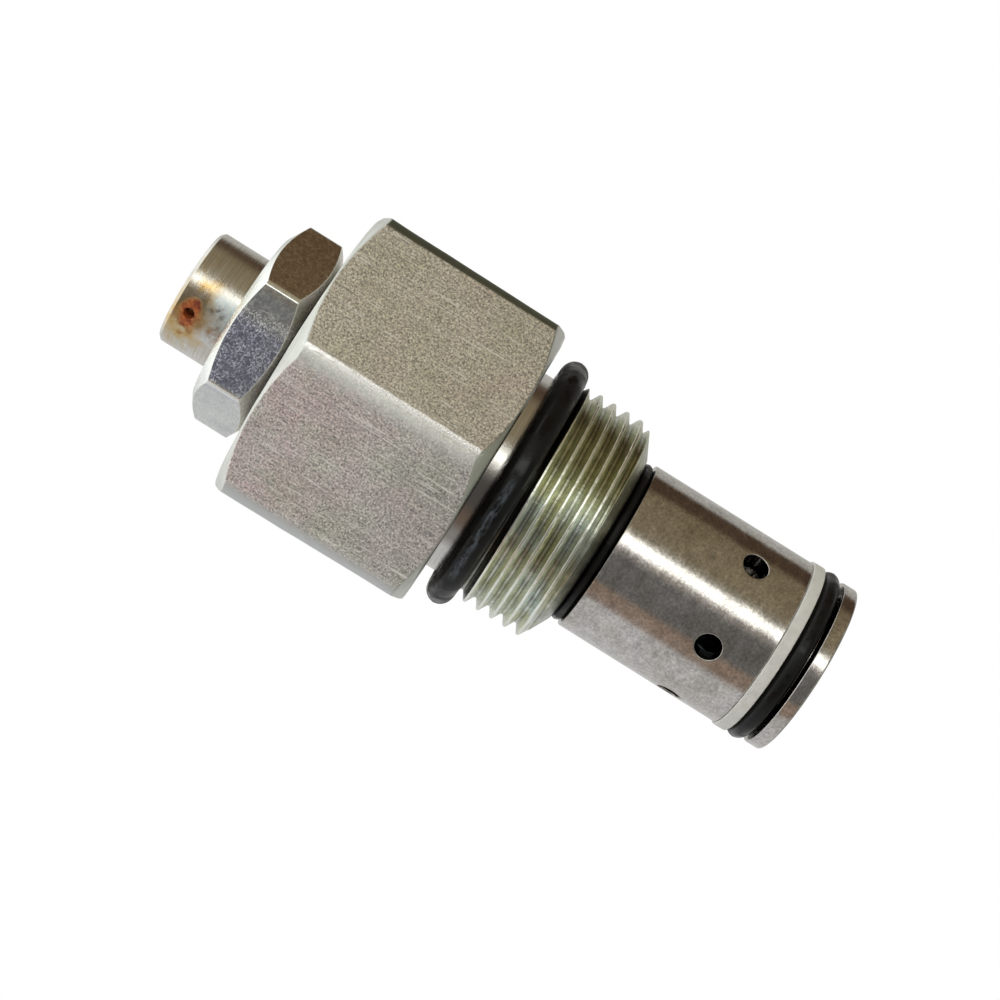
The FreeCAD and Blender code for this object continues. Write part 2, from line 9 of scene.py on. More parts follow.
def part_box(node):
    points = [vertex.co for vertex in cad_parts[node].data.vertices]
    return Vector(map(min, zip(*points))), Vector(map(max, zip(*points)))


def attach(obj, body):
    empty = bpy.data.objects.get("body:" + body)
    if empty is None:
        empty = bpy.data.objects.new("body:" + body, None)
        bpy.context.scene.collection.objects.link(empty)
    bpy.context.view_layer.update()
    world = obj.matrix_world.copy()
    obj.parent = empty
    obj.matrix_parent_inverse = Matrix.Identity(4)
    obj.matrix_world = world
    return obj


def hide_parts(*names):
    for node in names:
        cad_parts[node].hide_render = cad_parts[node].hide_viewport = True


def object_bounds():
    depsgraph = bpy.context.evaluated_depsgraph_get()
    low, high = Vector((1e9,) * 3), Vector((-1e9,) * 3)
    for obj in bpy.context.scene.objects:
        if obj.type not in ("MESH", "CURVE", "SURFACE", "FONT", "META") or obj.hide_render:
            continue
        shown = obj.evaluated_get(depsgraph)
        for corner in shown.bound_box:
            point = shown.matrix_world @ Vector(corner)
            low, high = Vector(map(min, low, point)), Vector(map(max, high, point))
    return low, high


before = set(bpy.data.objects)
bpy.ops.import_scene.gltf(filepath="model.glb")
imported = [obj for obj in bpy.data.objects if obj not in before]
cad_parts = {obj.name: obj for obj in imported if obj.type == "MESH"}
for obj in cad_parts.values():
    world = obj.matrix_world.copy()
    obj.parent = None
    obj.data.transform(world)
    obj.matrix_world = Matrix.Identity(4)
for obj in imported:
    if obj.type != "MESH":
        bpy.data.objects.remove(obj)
cad_low, cad_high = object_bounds()

# Sizes are in millimetres, in the frame of the CAD model; meshes are written in metres.
MM = 0.001
TAN30 = math.tan(math.radians(30))


def heights(node):
    """The lowest and highest z of a CAD node, in mm."""
    low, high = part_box(node)
    return low.z / MM, high.z / MM


PLUG_LOW, PLUG_HIGH = heights("plug_body")
NUT_LOW, NUT_HIGH = heights("lock_nut")
SCREW_LOW, SCREW_HIGH = heights("adjuster_screw")
SLEEVE_LOW, SLEEVE_HIGH = heights("sleeve")

HEX_TOP_WIDTH = 30.0
HEX_DRAFT = math.tan(math.radians(0.5))
HEX_CORNER = 1.8
HEX_TOP_CIRCLE = 14.8
HEX_SEAT_CIRCLE = 14.7
RELIEF_RADIUS = 13.7
RELIEF_HEIGHT = 0.25
NECK_RADIUS = 10.82
NECK_LOW = -1.6
GROOVE_RADIUS = 10.76
THREAD_HIGH = -4.0
THREAD_MAJOR = 11.9
THREAD_MINOR = 10.98
THREAD_LEAD = 11.15  # radius where the thread starts
THREAD_END_DEPTHS = (11.35, 11.65, 12.8)  # end of the full thread, then the end cone
THREAD_END_RADII = (THREAD_MAJOR, 11.3, 9.1)
PITCH = 1.5
THREAD_PHASE = -5.9  # height of a crest at azimuth 0
SEAL_BORE = 5.0
SCREW_BORE = 6.05
CHAMBER = 6.5
SOCKET_BORE = 7.52

NUT_WIDTH = 19.0
NUT_TURNED = 10.85
NUT_FACE = 8.8
NUT_ANGLE = -9.8

SCREW_RADIUS = 6.0
SCREW_EDGE = 0.35
KEY_WIDTH = 6.0
KEY_DEPTH = 5.6
WIRE_HOLE = 0.55
WIRE_HOLE_Z = 31.3
WIRE_HOLE_ANGLE = -114.8
SHANK_LOW = 14.8  # end of the screw's thread
SPIGOT = 4.95
SEAL_GROOVE = (3.5, 8.2, 10.8)  # radius, low z, high z
CLIP_GROOVE = (4.25, 4.05, 4.95)

SLEEVE_RADIUS = 8.95
LAND_RADIUS = 8.93
PORT_RADIUS = 1.3
PORT_Z = -26.3
PORT_ANGLE = 8.7
RING_RADIUS = 6.8
RING_HIGH = -24.2
RING_LOW = -28.3
SLEEVE_BORE = 5.0
SPIGOT_RADIUS = 7.5
SHOULDER_Z = -13.95
NOSE_GROOVE_RADIUS = 7.35
NOSE_GROOVE_HIGH = -31.6
NOSE_GROOVE_LOW = -35.1
INLET_RADIUS = 3.75
BACKUP_BORE = 7.38
WASHER_BORE = 6.15

COLUMNS = 720
RING_COLUMNS = 360


# ---------------------------------------------------------------- mesh building

def azimuths(count=COLUMNS):
    return np.arange(count) * 2 * math.pi / count


def hexagon(angle, width, corner, first_corner):
    """Distance from the axis to a hexagon with round corners, at each azimuth."""
    half = width / 2
    off = np.mod(angle - math.radians(first_corner), math.radians(60)) - math.radians(30)
    off = np.abs(off)
    centre = (half - corner) / math.cos(math.radians(30))
    tangent = math.atan((half - corner) * TAN30 / half)
    delta = math.radians(30) - off
    flat = half / np.cos(off)
    inside = np.maximum(corner ** 2 - (centre * np.sin(delta)) ** 2, 0)
    return np.where(off <= tangent, flat, centre * np.cos(delta) + np.sqrt(inside))


def column_points(points, count=COLUMNS):
    """(rows, columns, 2) from a list of (radius, height), each a number or one per column."""
    rows = [
        np.stack([np.broadcast_to(r, count).astype(float), np.broadcast_to(z, count).astype(float)], axis=-1)
        for r, z in points
    ]
    return np.array(rows)


def rounded(points, radii, closed=True, steps=4, count=COLUMNS):
    """Rounds every corner of an outline, column by column; a radius of 0 keeps the corner."""
    p = column_points(points, count)
    last = len(p)
    rows = []
    for i in range(last):
        ends = not closed and i in (0, last - 1)
        if ends or radii[i] == 0:
            rows.append(p[i])
            continue
        to_prev = p[i - 1] - p[i]
        to_next = p[(i + 1) % last] - p[i]
        len_prev = np.linalg.norm(to_prev, axis=-1, keepdims=True) + 1e-9
        len_next = np.linalg.norm(to_next, axis=-1, keepdims=True) + 1e-9
        to_prev = to_prev / len_prev
        to_next = to_next / len_next
        cosine = np.clip(np.sum(to_prev * to_next, axis=-1, keepdims=True), -1, 1)
        half = np.arccos(cosine) / 2
        room = 0.45 * np.minimum(len_prev, len_next)
        back = np.minimum(radii[i] / np.maximum(np.tan(half), 1e-3), room)
        for k in range(steps + 1):
            t = k / steps
            a = p[i] + to_prev * back
            b = p[i] + to_next * back
            rows.append((1 - t) ** 2 * a + 2 * t * (1 - t) * p[i] + t ** 2 * b)
    return np.array(rows)


def spread(start, end, count):
    """Rows evenly between two rows, without the two themselves."""
    return [start + (end - start) * k / (count + 1) for k in range(1, count + 1)]


class Soup:
    """Vertices and faces that are joined into one mesh at the end."""

    def __init__(self):
        self.verts = []
        self.faces = []
        self.total = 0

    def add(self, verts, faces):
        verts = np.asarray(verts, float).reshape(-1, 3)
        self.faces += [tuple(i + self.total for i in face) for face in faces]
        self.verts.append(verts)
        self.total += len(verts)

    def loft(self, rows, closed=False, flip=False):
        """Skins rows of (radius, height) round the whole axis."""
        rows = np.asarray(rows)
        n, count = rows.shape[:2]
        angle = azimuths(count)
        r, z = rows[..., 0], rows[..., 1]
        verts = np.stack([r * np.cos(angle), r * np.sin(angle), z], axis=-1)
        faces = []
        for i in range(n if closed else n - 1):
            a, b = i * count, (i + 1) % n * count
            for j in range(count):
                k = (j + 1) % count
                face = (a + j, b + j, b + k, a + k)
                faces.append(face[::-1] if flip else face)
        self.add(verts, faces)

    def build(self, name, merge=0.0005, weighted=True):
        """The finished object, in metres, smooth shaded."""
        mesh = bpy.data.meshes.new(name)
        mesh.from_pydata((np.concatenate(self.verts) * MM).tolist(), [], self.faces)
        mesh.validate()
        bm = bmesh.new()
        bm.from_mesh(mesh)
        bmesh.ops.remove_doubles(bm, verts=bm.verts, dist=merge * MM)
        bmesh.ops.dissolve_degenerate(bm, dist=1e-9, edges=bm.edges)
        bmesh.ops.recalc_face_normals(bm, faces=bm.faces)
        bm.to_mesh(mesh)
        bm.free()
        mesh.polygons.foreach_set("use_smooth", [True] * len(mesh.polygons))
        obj = bpy.data.objects.new(name, mesh)
        bpy.context.scene.collection.objects.link(obj)
        if weighted:
            mod = obj.modifiers.new("even_normals", "WEIGHTED_NORMAL")
            mod.mode = "FACE_AREA"
            mod.weight = 80
        return obj


def drilled_band(
    soup, radius, z_low, z_high, rows, holes, hole_radius, first, span, edge, inward, count=COLUMNS
):
    """A cylinder band with round radial holes, plus each hole's edge break.

    Each hole takes span columns each side of its middle. The band's other columns are plain.
    inward is the side that the edge break sinks to: -1 towards the axis, 1 away from it.
    Returns the rim rings, for the hole walls.
    """
    step = 2 * math.pi / count
    levels = np.linspace(z_low, z_high, rows + 1)
    turns = [math.radians(first) + 2 * math.pi * k / holes for k in range(holes)]
    middles = [int(round(turn / step)) for turn in turns]
    taken = {(m + j) % count for m in middles for j in range(-span, span)}
    for j in range(count):
        if j in taken:
            continue
        a, b = j * step, (j + 1) * step
        strip = [[radius * math.cos(t), radius * math.sin(t), z] for z in levels for t in (a, b)]
        soup.add(strip, [(2 * i, 2 * i + 1, 2 * i + 3, 2 * i + 2) for i in range(rows)])
    rims = []
    for m in middles:
        rims.append(hole_patch(soup, radius, levels, m * step, span, step, hole_radius, edge, inward))
    return rims


def hole_patch(soup, radius, levels, middle, span, step, hole_radius, edge, inward):
    """The part of a band round one hole: rings that change from the hole's circle to a rectangle."""
    z_mid = (levels[0] + levels[-1]) / 2
    frame_pts = [(j * step, levels[0]) for j in range(-span, span)]
    frame_pts += [(span * step, z) for z in levels[:-1]]
    frame_pts += [(j * step, levels[-1]) for j in range(span, -span, -1)]
    frame_pts += [(-span * step, z) for z in levels[:0:-1]]
    frame_pts = np.array(frame_pts)
    flat = np.stack([frame_pts[:, 0] * radius, frame_pts[:, 1] - z_mid], axis=-1)
    turn = np.arctan2(flat[:, 1], flat[:, 0])

    def circle(size, depth):
        r = radius + depth
        swing = np.arcsin(np.clip(size * np.cos(turn) / r, -1, 1))
        return np.stack(
            [r * np.cos(middle + swing), r * np.sin(middle + swing), z_mid + size * np.sin(turn)], axis=-1
        )

    rings = [circle(hole_radius, inward * edge)]
    for k in range(1, 4):
        bend = math.pi / 2 * k / 3
        wider = hole_radius + edge * (1 - math.cos(bend))
        rings.append(circle(wider, inward * edge * (1 - math.sin(bend))))
    outer = hole_radius + edge
    swing = np.arcsin(np.clip(outer * np.cos(turn) / radius, -1, 1))
    inner_flat = np.stack([swing, outer * np.sin(turn)], axis=-1)
    rim_flat = np.stack([frame_pts[:, 0], frame_pts[:, 1] - z_mid], axis=-1)
    for k in range(1, 11):
        t = (k / 10) ** 1.6
        mixed = inner_flat + (rim_flat - inner_flat) * t
        rings.append(
            np.stack(
                [
                    radius * np.cos(middle + mixed[:, 0]),
                    radius * np.sin(middle + mixed[:, 0]),
                    z_mid + mixed[:, 1],
                ],
                axis=-1,
            )
        )
    skin(soup, rings)
    return rings[0]


def skin(soup, rings):
    """Quads between closed rings of equal length."""
    n = len(rings[0])
    faces = []
    for i in range(len(rings) - 1):
        for j in range(n):
            k = (j + 1) % n
            faces.append((i * n + j, i * n + k, (i + 1) * n + k, (i + 1) * n + j))
    soup.add(np.concatenate(rings), faces)


def smooth_noise(seed, size, points):
    """Soft value noise of a given grid size in mm, between -1 and 1, for an (n, 3) array in mm."""
    rng = np.random.default_rng(seed)
    table = rng.uniform(-1, 1, (32, 32, 32))
    cell = points / size
    base = np.floor(cell).astype(int)
    part = cell - base
    part = part * part * (3 - 2 * part)
    total = np.zeros(len(points))
    for corner in range(8):
        shift = np.array([corner & 1, corner >> 1 & 1, corner >> 2 & 1])
        index = np.mod(base + shift, 32)
        weight = np.prod(np.where(shift, part, 1 - part), axis=1)
        total += weight * table[index[:, 0], index[:, 1], index[:, 2]]
    return total


def roughen(obj, amount, size, seed, where=None):
    """Moves the mesh's points along their normals by soft noise, in mm."""
    mesh = obj.data
    count = len(mesh.vertices)
    co = np.empty(count * 3)
    mesh.vertices.foreach_get("co", co)
    co = co.reshape(-1, 3)
    normal = np.empty(count * 3)
    mesh.vertex_normals.foreach_get("vector", normal)
    normal = normal.reshape(-1, 3)
    shift = smooth_noise(seed, size, co / MM) * amount
    if where is not None:
        shift = shift * where(co / MM)
    co += normal * (shift * MM)[:, None]
    mesh.vertices.foreach_set("co", co.reshape(-1))
    mesh.update()


# ---------------------------------------------------------------- pieces

def thread_rows():
    """The thread and the end cone of the plug, as close rows of radius and height."""
    angle = azimuths()
    rows = []
    levels = np.linspace(THREAD_HIGH, PLUG_LOW, 250)
    for z in levels:
        phase = (z - THREAD_PHASE - PITCH * angle / (2 * math.pi)) / PITCH
        off = np.abs(phase - np.round(phase)) * PITCH  # distance from the nearest crest
        flank = THREAD_MAJOR - np.maximum(off - 0.1, 0) / TAN30
        groove = np.maximum(flank, THREAD_MINOR)
        lead = THREAD_LEAD + (THREAD_HIGH - z) * 1.25
        end = np.interp(-z, THREAD_END_DEPTHS, THREAD_END_RADII)
        envelope = np.minimum(min(lead, THREAD_MAJOR), end)
        rows.append(np.stack([np.minimum(groove, envelope), np.full(COLUMNS, z)], axis=-1))
    return rows


def make_plug():
    angle = azimuths()
    top_r = hexagon(angle, HEX_TOP_WIDTH, HEX_CORNER, 30)
    seat_r = hexagon(angle, HEX_TOP_WIDTH - 2 * PLUG_HIGH * HEX_DRAFT, HEX_CORNER, 30)
    top_z = PLUG_HIGH - np.maximum(top_r - HEX_TOP_CIRCLE, 0) * TAN30
    seat_z = np.maximum(seat_r - HEX_SEAT_CIRCLE, 0) * TAN30
    outer = rounded(
        [
            (6.85, PLUG_HIGH),
            (HEX_TOP_CIRCLE, PLUG_HIGH),
            (top_r, top_z),
            (seat_r, seat_z),
            (HEX_SEAT_CIRCLE, 0),
            (RELIEF_RADIUS, 0),
            (RELIEF_RADIUS, RELIEF_HEIGHT),
            (NECK_RADIUS, RELIEF_HEIGHT),
            (NECK_RADIUS, NECK_LOW),
            (GROOVE_RADIUS, NECK_LOW - 0.06),
            (GROOVE_RADIUS, THREAD_HIGH),
            (THREAD_LEAD, THREAD_HIGH),
        ],
        [0, 0.12, 0.22, 0.22, 0.08, 0.05, 0.05, 0.1, 0.15, 0.12, 0.1, 0],
        closed=False,
    )
    rows = list(outer)
    flat_at = 1 + 5 + 5 - 1  # the row where the long flat begins
    rows = rows[: flat_at + 1] + spread(rows[flat_at], rows[flat_at + 1], 40) + rows[flat_at + 1 :]
    rows += thread_rows()[1:]
    rows += list(
        column_points(
            [
                (SOCKET_BORE, PLUG_LOW),
                (SOCKET_BORE, -8.9),
                (CHAMBER, -8.9),
                (CHAMBER, 6.5),
                (SEAL_BORE, 6.5),
                (SEAL_BORE, 12.6),
                (SCREW_BORE, 13.0),
                (SCREW_BORE, 20.2),
            ]
        )
    )
    soup = Soup()
    soup.loft(rows, closed=True)
    plug = soup.build("plug")
    roughen(plug, 0.035, 2.2, 11, lambda p: (p[:, 2] > -0.5) & (np.hypot(p[:, 0], p[:, 1]) > 13))
    roughen(plug, 0.025, 0.5, 12, lambda p: (p[:, 2] < -4.3) & (np.hypot(p[:, 0], p[:, 1]) > 11.6))
    finish_piece(plug, "cartridge_body", "plug_body", zinc_hex())


def make_nut():
    angle = azimuths()
    bar = np.minimum(hexagon(angle, NUT_WIDTH, 0.35, NUT_ANGLE), NUT_TURNED)
    drop = np.maximum(bar - NUT_FACE, 0) * TAN30
    rows = rounded(
        [
            (6.6, NUT_HIGH),
            (NUT_FACE, NUT_HIGH),
            (bar, NUT_HIGH - drop),
            (bar, NUT_LOW + drop),
            (NUT_FACE, NUT_LOW),
            (6.6, NUT_LOW),
            (SCREW_BORE, NUT_LOW + 0.55),
            (SCREW_BORE, NUT_HIGH - 0.55),
        ],
        [0.05, 0.1, 0.12, 0.12, 0.1, 0.05, 0, 0],
    )
    soup = Soup()
    soup.loft(rows, closed=True)
    nut = soup.build("nut")
    finish_piece(nut, "lock_nut", "lock_nut", zinc_nut())


def make_screw():
    angle = azimuths()
    key = hexagon(angle, KEY_WIDTH, 0.1, 0)
    floor = SCREW_HIGH - KEY_DEPTH
    groove, groove_low, groove_high = SEAL_GROOVE
    clip, clip_low, clip_high = CLIP_GROOVE
    band_low, band_high = WIRE_HOLE_Z - 0.9, WIRE_HOLE_Z + 0.9
    head = rounded(
        [
            (0, floor),
            (key, floor),
            (key, SCREW_HIGH - 0.25),
            (key + 0.25, SCREW_HIGH),
            (SCREW_RADIUS - SCREW_EDGE, SCREW_HIGH),
            (SCREW_RADIUS, SCREW_HIGH - SCREW_EDGE),
            (SCREW_RADIUS, band_high),
        ],
        [0, 0.05, 0.05, 0.08, 0.2, 0.2, 0],
        closed=False,
    )
    shank = rounded(
        [
            (SCREW_RADIUS, band_low),
            (SCREW_RADIUS, 15.4),
            (SCREW_RADIUS - 0.6, SHANK_LOW),
            (SPIGOT, SHANK_LOW),
            (SPIGOT, groove_high),
            (groove, groove_high),
            (groove, groove_low),
            (SPIGOT, groove_low),
            (SPIGOT, clip_high),
            (clip, clip_high),
            (clip, clip_low),
            (SPIGOT, clip_low),
            (SPIGOT, SCREW_LOW + 0.3),
            (4.65, SCREW_LOW),
            (0, SCREW_LOW),
        ],
        [0, 0.1, 0.1, 0, 0, 0.1, 0.1, 0, 0, 0, 0, 0, 0.1, 0.1, 0],
        closed=False,
    )
    soup = Soup()
    soup.loft(head)
    soup.loft(shank)
    rims = drilled_band(
        soup, SCREW_RADIUS, band_low, band_high, 12, 2, WIRE_HOLE, WIRE_HOLE_ANGLE, 16, 0.12, -1
    )
    for rim in rims:
        blind_hole(soup, rim, 3.6)
    screw = soup.build("screw")
    finish_piece(screw, "adjuster", "adjuster_screw", turned_screw())


def blind_hole(soup, rim, floor_radius):
    """A hole's wall from its rim in to a radius, with a floor. The CAD hole goes on into the socket."""
    centre = rim.mean(axis=0)
    out = np.array([centre[0], centre[1], 0]) / math.hypot(centre[0], centre[1])
    depth = rim @ out
    ends = rim - np.outer(depth - floor_radius, out)
    skin(soup, [rim, rim * 0.5 + ends * 0.5, ends])
    n = len(ends)
    middle = ends.mean(axis=0)
    soup.add(np.vstack([ends, middle]), [(j, (j + 1) % n, n) for j in range(n)])


def make_sleeve():
    half_band = 3.0
    band_high, band_low = PORT_Z + half_band, PORT_Z - half_band
    outer_high = rounded(
        [
            (SLEEVE_BORE, SLEEVE_HIGH),
            (SPIGOT_RADIUS, SLEEVE_HIGH),
            (SPIGOT_RADIUS, SHOULDER_Z),
            (SLEEVE_RADIUS, SHOULDER_Z),
            (SLEEVE_RADIUS, band_high),
        ],
        [0.1, 0.15, 0.1, 0.2, 0],
        closed=False,
    )
    outer_low = rounded(
        [
            (SLEEVE_RADIUS, band_low),
            (SLEEVE_RADIUS, NOSE_GROOVE_HIGH),
            (NOSE_GROOVE_RADIUS, NOSE_GROOVE_HIGH),
            (NOSE_GROOVE_RADIUS, NOSE_GROOVE_LOW),
            (LAND_RADIUS, NOSE_GROOVE_LOW),
            (LAND_RADIUS, SLEEVE_LOW),
            (4.3, SLEEVE_LOW),
            (INLET_RADIUS, SLEEVE_LOW + 0.55),
            (INLET_RADIUS, -29.0),
            (4.6, RING_LOW),
            (RING_RADIUS, RING_LOW),
        ],
        [0, 0.15, 0.15, 0.15, 0.2, 0.25, 0.1, 0.1, 0.05, 0.05, 0],
        closed=False,
    )
    inner_high = column_points([(RING_RADIUS, RING_HIGH), (SLEEVE_BORE, RING_HIGH), (SLEEVE_BORE, SLEEVE_HIGH)])
    soup = Soup()
    soup.loft(outer_high)
    soup.loft(outer_low)
    soup.loft(inner_high)
    span = COLUMNS // 12
    rims_out = drilled_band(
        soup, SLEEVE_RADIUS, band_low, band_high, 40, 6, PORT_RADIUS, PORT_ANGLE, span, 0.1, -1
    )
    ring_mid = (RING_HIGH + RING_LOW) / 2
    reach = min(RING_HIGH - PORT_Z, PORT_Z - RING_LOW)
    rims_in = drilled_band(
        soup, RING_RADIUS, PORT_Z - reach, PORT_Z + reach, 40, 6, PORT_RADIUS, PORT_ANGLE, span, 0.08, 1
    )
    soup.loft(column_points([(RING_RADIUS, PORT_Z + reach), (RING_RADIUS, RING_HIGH)]))
    soup.loft(column_points([(RING_RADIUS, RING_LOW), (RING_RADIUS, PORT_Z - reach)]))
    for out_rim, in_rim in zip(rims_out, rims_in):
        port_wall(soup, out_rim, in_rim)
    sleeve = soup.build("sleeve_tube")
    finish_piece(sleeve, "cartridge_body", "sleeve", ground_sleeve())


def port_wall(soup, out_rim, in_rim):
    """The wall of one port, between the rims that a band each side gives it."""
    centre = out_rim.mean(axis=0)
    out = np.array([centre[0], centre[1], 0]) / math.hypot(centre[0], centre[1])
    side = np.cross([0, 0, 1], out)

    def turn(ring):
        rel = ring - np.array([0, 0, PORT_Z])
        return np.arctan2(rel[:, 2], rel @ side)

    count = 96
    even = np.linspace(-math.pi, math.pi, count, endpoint=False)
    rings = []
    for depth in np.linspace(SLEEVE_RADIUS - 0.35, RING_RADIUS + 0.3, 6):
        ring = (
            np.outer(PORT_RADIUS * np.cos(even), side)
            + np.outer(PORT_RADIUS * np.sin(even), [0, 0, 1])
            + out * depth
            + np.array([0, 0, PORT_Z])
        )
        rings.append(ring)
    skin(soup, rings)
    for rim, ring in ((out_rim, rings[0]), (in_rim, rings[-1])):
        order = np.argsort(turn(rim))
        stitch(soup, rim[order], turn(rim)[order], ring, even)


def stitch(soup, ring_a, turn_a, ring_b, turn_b):
    """Triangles between two rings with different numbers of points, both in order of turn."""
    n, m = len(ring_a), len(ring_b)
    faces = []
    i = j = 0
    while i < n or j < m:
        next_a = turn_a[(i + 1) % n] + (2 * math.pi if i + 1 >= n else 0)
        next_b = turn_b[(j + 1) % m] + (2 * math.pi if j + 1 >= m else 0)
        if j >= m or (i < n and next_a <= next_b):
            faces.append((i % n, (i + 1) % n, n + j % m))
            i += 1
        else:
            faces.append((i % n, n + (j + 1) % m, n + j % m))
            j += 1
    soup.add(np.vstack([ring_a, ring_b]), faces)


def make_o_ring(name, node, body, material, bumps=0.0):
    """A round ring from its node's box: the section is the node's height."""
    low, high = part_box(node)
    section = (high.z - low.z) / 2 / MM
    centre = high.x / MM - section
    middle = (high.z + low.z) / 2 / MM
    turns = np.linspace(0, 2 * math.pi, 49)[:-1]
    flash = 0.02 * np.exp(-((np.mod(turns + math.pi, 2 * math.pi) - math.pi) / 0.08) ** 2)
    outline = [
        (centre + (section + f) * math.cos(t), middle + section * math.sin(t)) for t, f in zip(turns, flash)
    ]
    rows = column_points(outline, RING_COLUMNS)
    soup = Soup()
    soup.loft(rows, closed=True)
    ring = soup.build(name, weighted=False)
    if bumps:
        roughen(ring, bumps, 1.5, 21)
    finish_piece(ring, body, node, material)


def make_flat_ring(name, node, inner, body, material, edge):
    """A ring with rounded edges from its node's box and its bore."""
    low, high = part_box(node)
    outer = high.x / MM
    bottom, top = low.z / MM, high.z / MM
    outline = [(inner, top), (outer, top), (outer, bottom), (inner, bottom)]
    rows = rounded(outline, [edge] * 4, count=RING_COLUMNS)
    soup = Soup()
    soup.loft(rows, closed=True)
    finish_piece(soup.build(name), body, node, material)


def finish_piece(piece, body, node, material):
    """Puts a piece in place of its CAD node."""
    piece.data.materials.append(material)
    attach(piece, body)
    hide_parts(node)


# ---------------------------------------------------------------- materials
# Limits of a mask along z, radius() and toward() are in metres.

class Graph:
    """A node material with a Principled shader, and short ways to wire it."""

    def __init__(self, name, **constants):
        self.material = bpy.data.materials.new(name)
        self.material.use_nodes = True
        self.tree = self.material.node_tree
        self.shader = self.tree.nodes["Principled BSDF"]
        for key, constant in constants.items():
            self.shader.inputs[key.replace("_", " ")].default_value = constant

    def node(self, kind, inputs=(), **settings):
        made = self.tree.nodes.new(kind)
        for key, setting in settings.items():
            setattr(made, key, setting)
        for key, source in dict(inputs).items():
            self.put(made.inputs[key], source)
        return made

    def put(self, socket, source):
        if isinstance(source, bpy.types.NodeSocket):
            self.tree.links.new(source, socket)
        else:
            socket.default_value = source

    def place(self, stretch=(1, 1, 1), shift=(0, 0, 0)):
        """Object coordinates in mm, stretched along the axes."""
        coord = self.node("ShaderNodeTexCoord").outputs["Object"]
        scale = tuple(s / MM for s in stretch)
        mapping = self.node("ShaderNodeMapping", {"Vector": coord, "Scale": scale, "Location": shift})
        return mapping.outputs[0]

    def xyz(self):
        """The object coordinates as three values, in metres."""
        coord = self.node("ShaderNodeTexCoord").outputs["Object"]
        return self.node("ShaderNodeSeparateXYZ", {0: coord}).outputs

    def radius(self):
        """Distance from the valve's axis, in metres."""
        coord = self.node("ShaderNodeTexCoord").outputs["Object"]
        flat = self.node("ShaderNodeVectorMath", {0: coord, 1: (1, 1, 0)}, operation="MULTIPLY")
        return self.node("ShaderNodeVectorMath", {0: flat.outputs[0]}, operation="LENGTH").outputs["Value"]

    def toward(self, degrees):
        """Distance from the axis towards an azimuth, in metres."""
        coord = self.node("ShaderNodeTexCoord").outputs["Object"]
        way = (math.cos(math.radians(degrees)), math.sin(math.radians(degrees)), 0)
        dot = self.node("ShaderNodeVectorMath", {0: coord, 1: way}, operation="DOT_PRODUCT")
        return dot.outputs["Value"]

    def cracks(self, vector, scale, width):
        """1 along a net of thin wandering lines."""
        bent = self.node("ShaderNodeTexNoise", {"Vector": vector, "Scale": scale * 0.7, "Detail": 2.0})
        offset = self.node(
            "ShaderNodeVectorMath", {0: bent.outputs["Color"], 1: (1.2 / scale,) * 3}, operation="MULTIPLY"
        ).outputs[0]
        moved = self.node("ShaderNodeVectorMath", {0: vector, 1: offset}, operation="ADD").outputs[0]
        cells = self.node(
            "ShaderNodeTexVoronoi", {"Vector": moved, "Scale": scale}, feature="DISTANCE_TO_EDGE"
        )
        return self.span(cells.outputs["Distance"], width, width * 0.2)

    def noise(self, vector, scale, detail=4.0, rough=0.5, distortion=0.0):
        made = self.node(
            "ShaderNodeTexNoise",
            {
                "Vector": vector,
                "Scale": scale,
                "Detail": detail,
                "Roughness": rough,
                "Distortion": distortion,
            },
        )
        return made.outputs["Fac"]

    def math(self, operation, a, b=0.0, clamp=False):
        return self.node("ShaderNodeMath", {0: a, 1: b}, operation=operation, use_clamp=clamp).outputs[0]

    def span(self, source, low, high, out_low=0.0, out_high=1.0):
        made = self.node(
            "ShaderNodeMapRange",
            {"Value": source, "From Min": low, "From Max": high, "To Min": out_low, "To Max": out_high},
            clamp=True,
        )
        return made.outputs[0]

    def blend(self, factor, a, b, kind="MIX"):
        made = self.node("ShaderNodeMix", data_type="RGBA", blend_type=kind)
        self.put(made.inputs[0], factor)
        self.put(made.inputs[6], a)
        self.put(made.inputs[7], b)
        return made.outputs[2]

    def bump(self, height, strength, distance_mm, normal=None):
        inputs = {"Height": height, "Strength": strength, "Distance": distance_mm * MM}
        if normal is not None:
            inputs["Normal"] = normal
        return self.node("ShaderNodeBump", inputs).outputs[0]

    def finish(self, **sockets):
        for key, source in sockets.items():
            self.put(self.shader.inputs[key.replace("_", " ")], source)
        return self.material


def tone(r, g, b):
    return (r, g, b, 1.0)


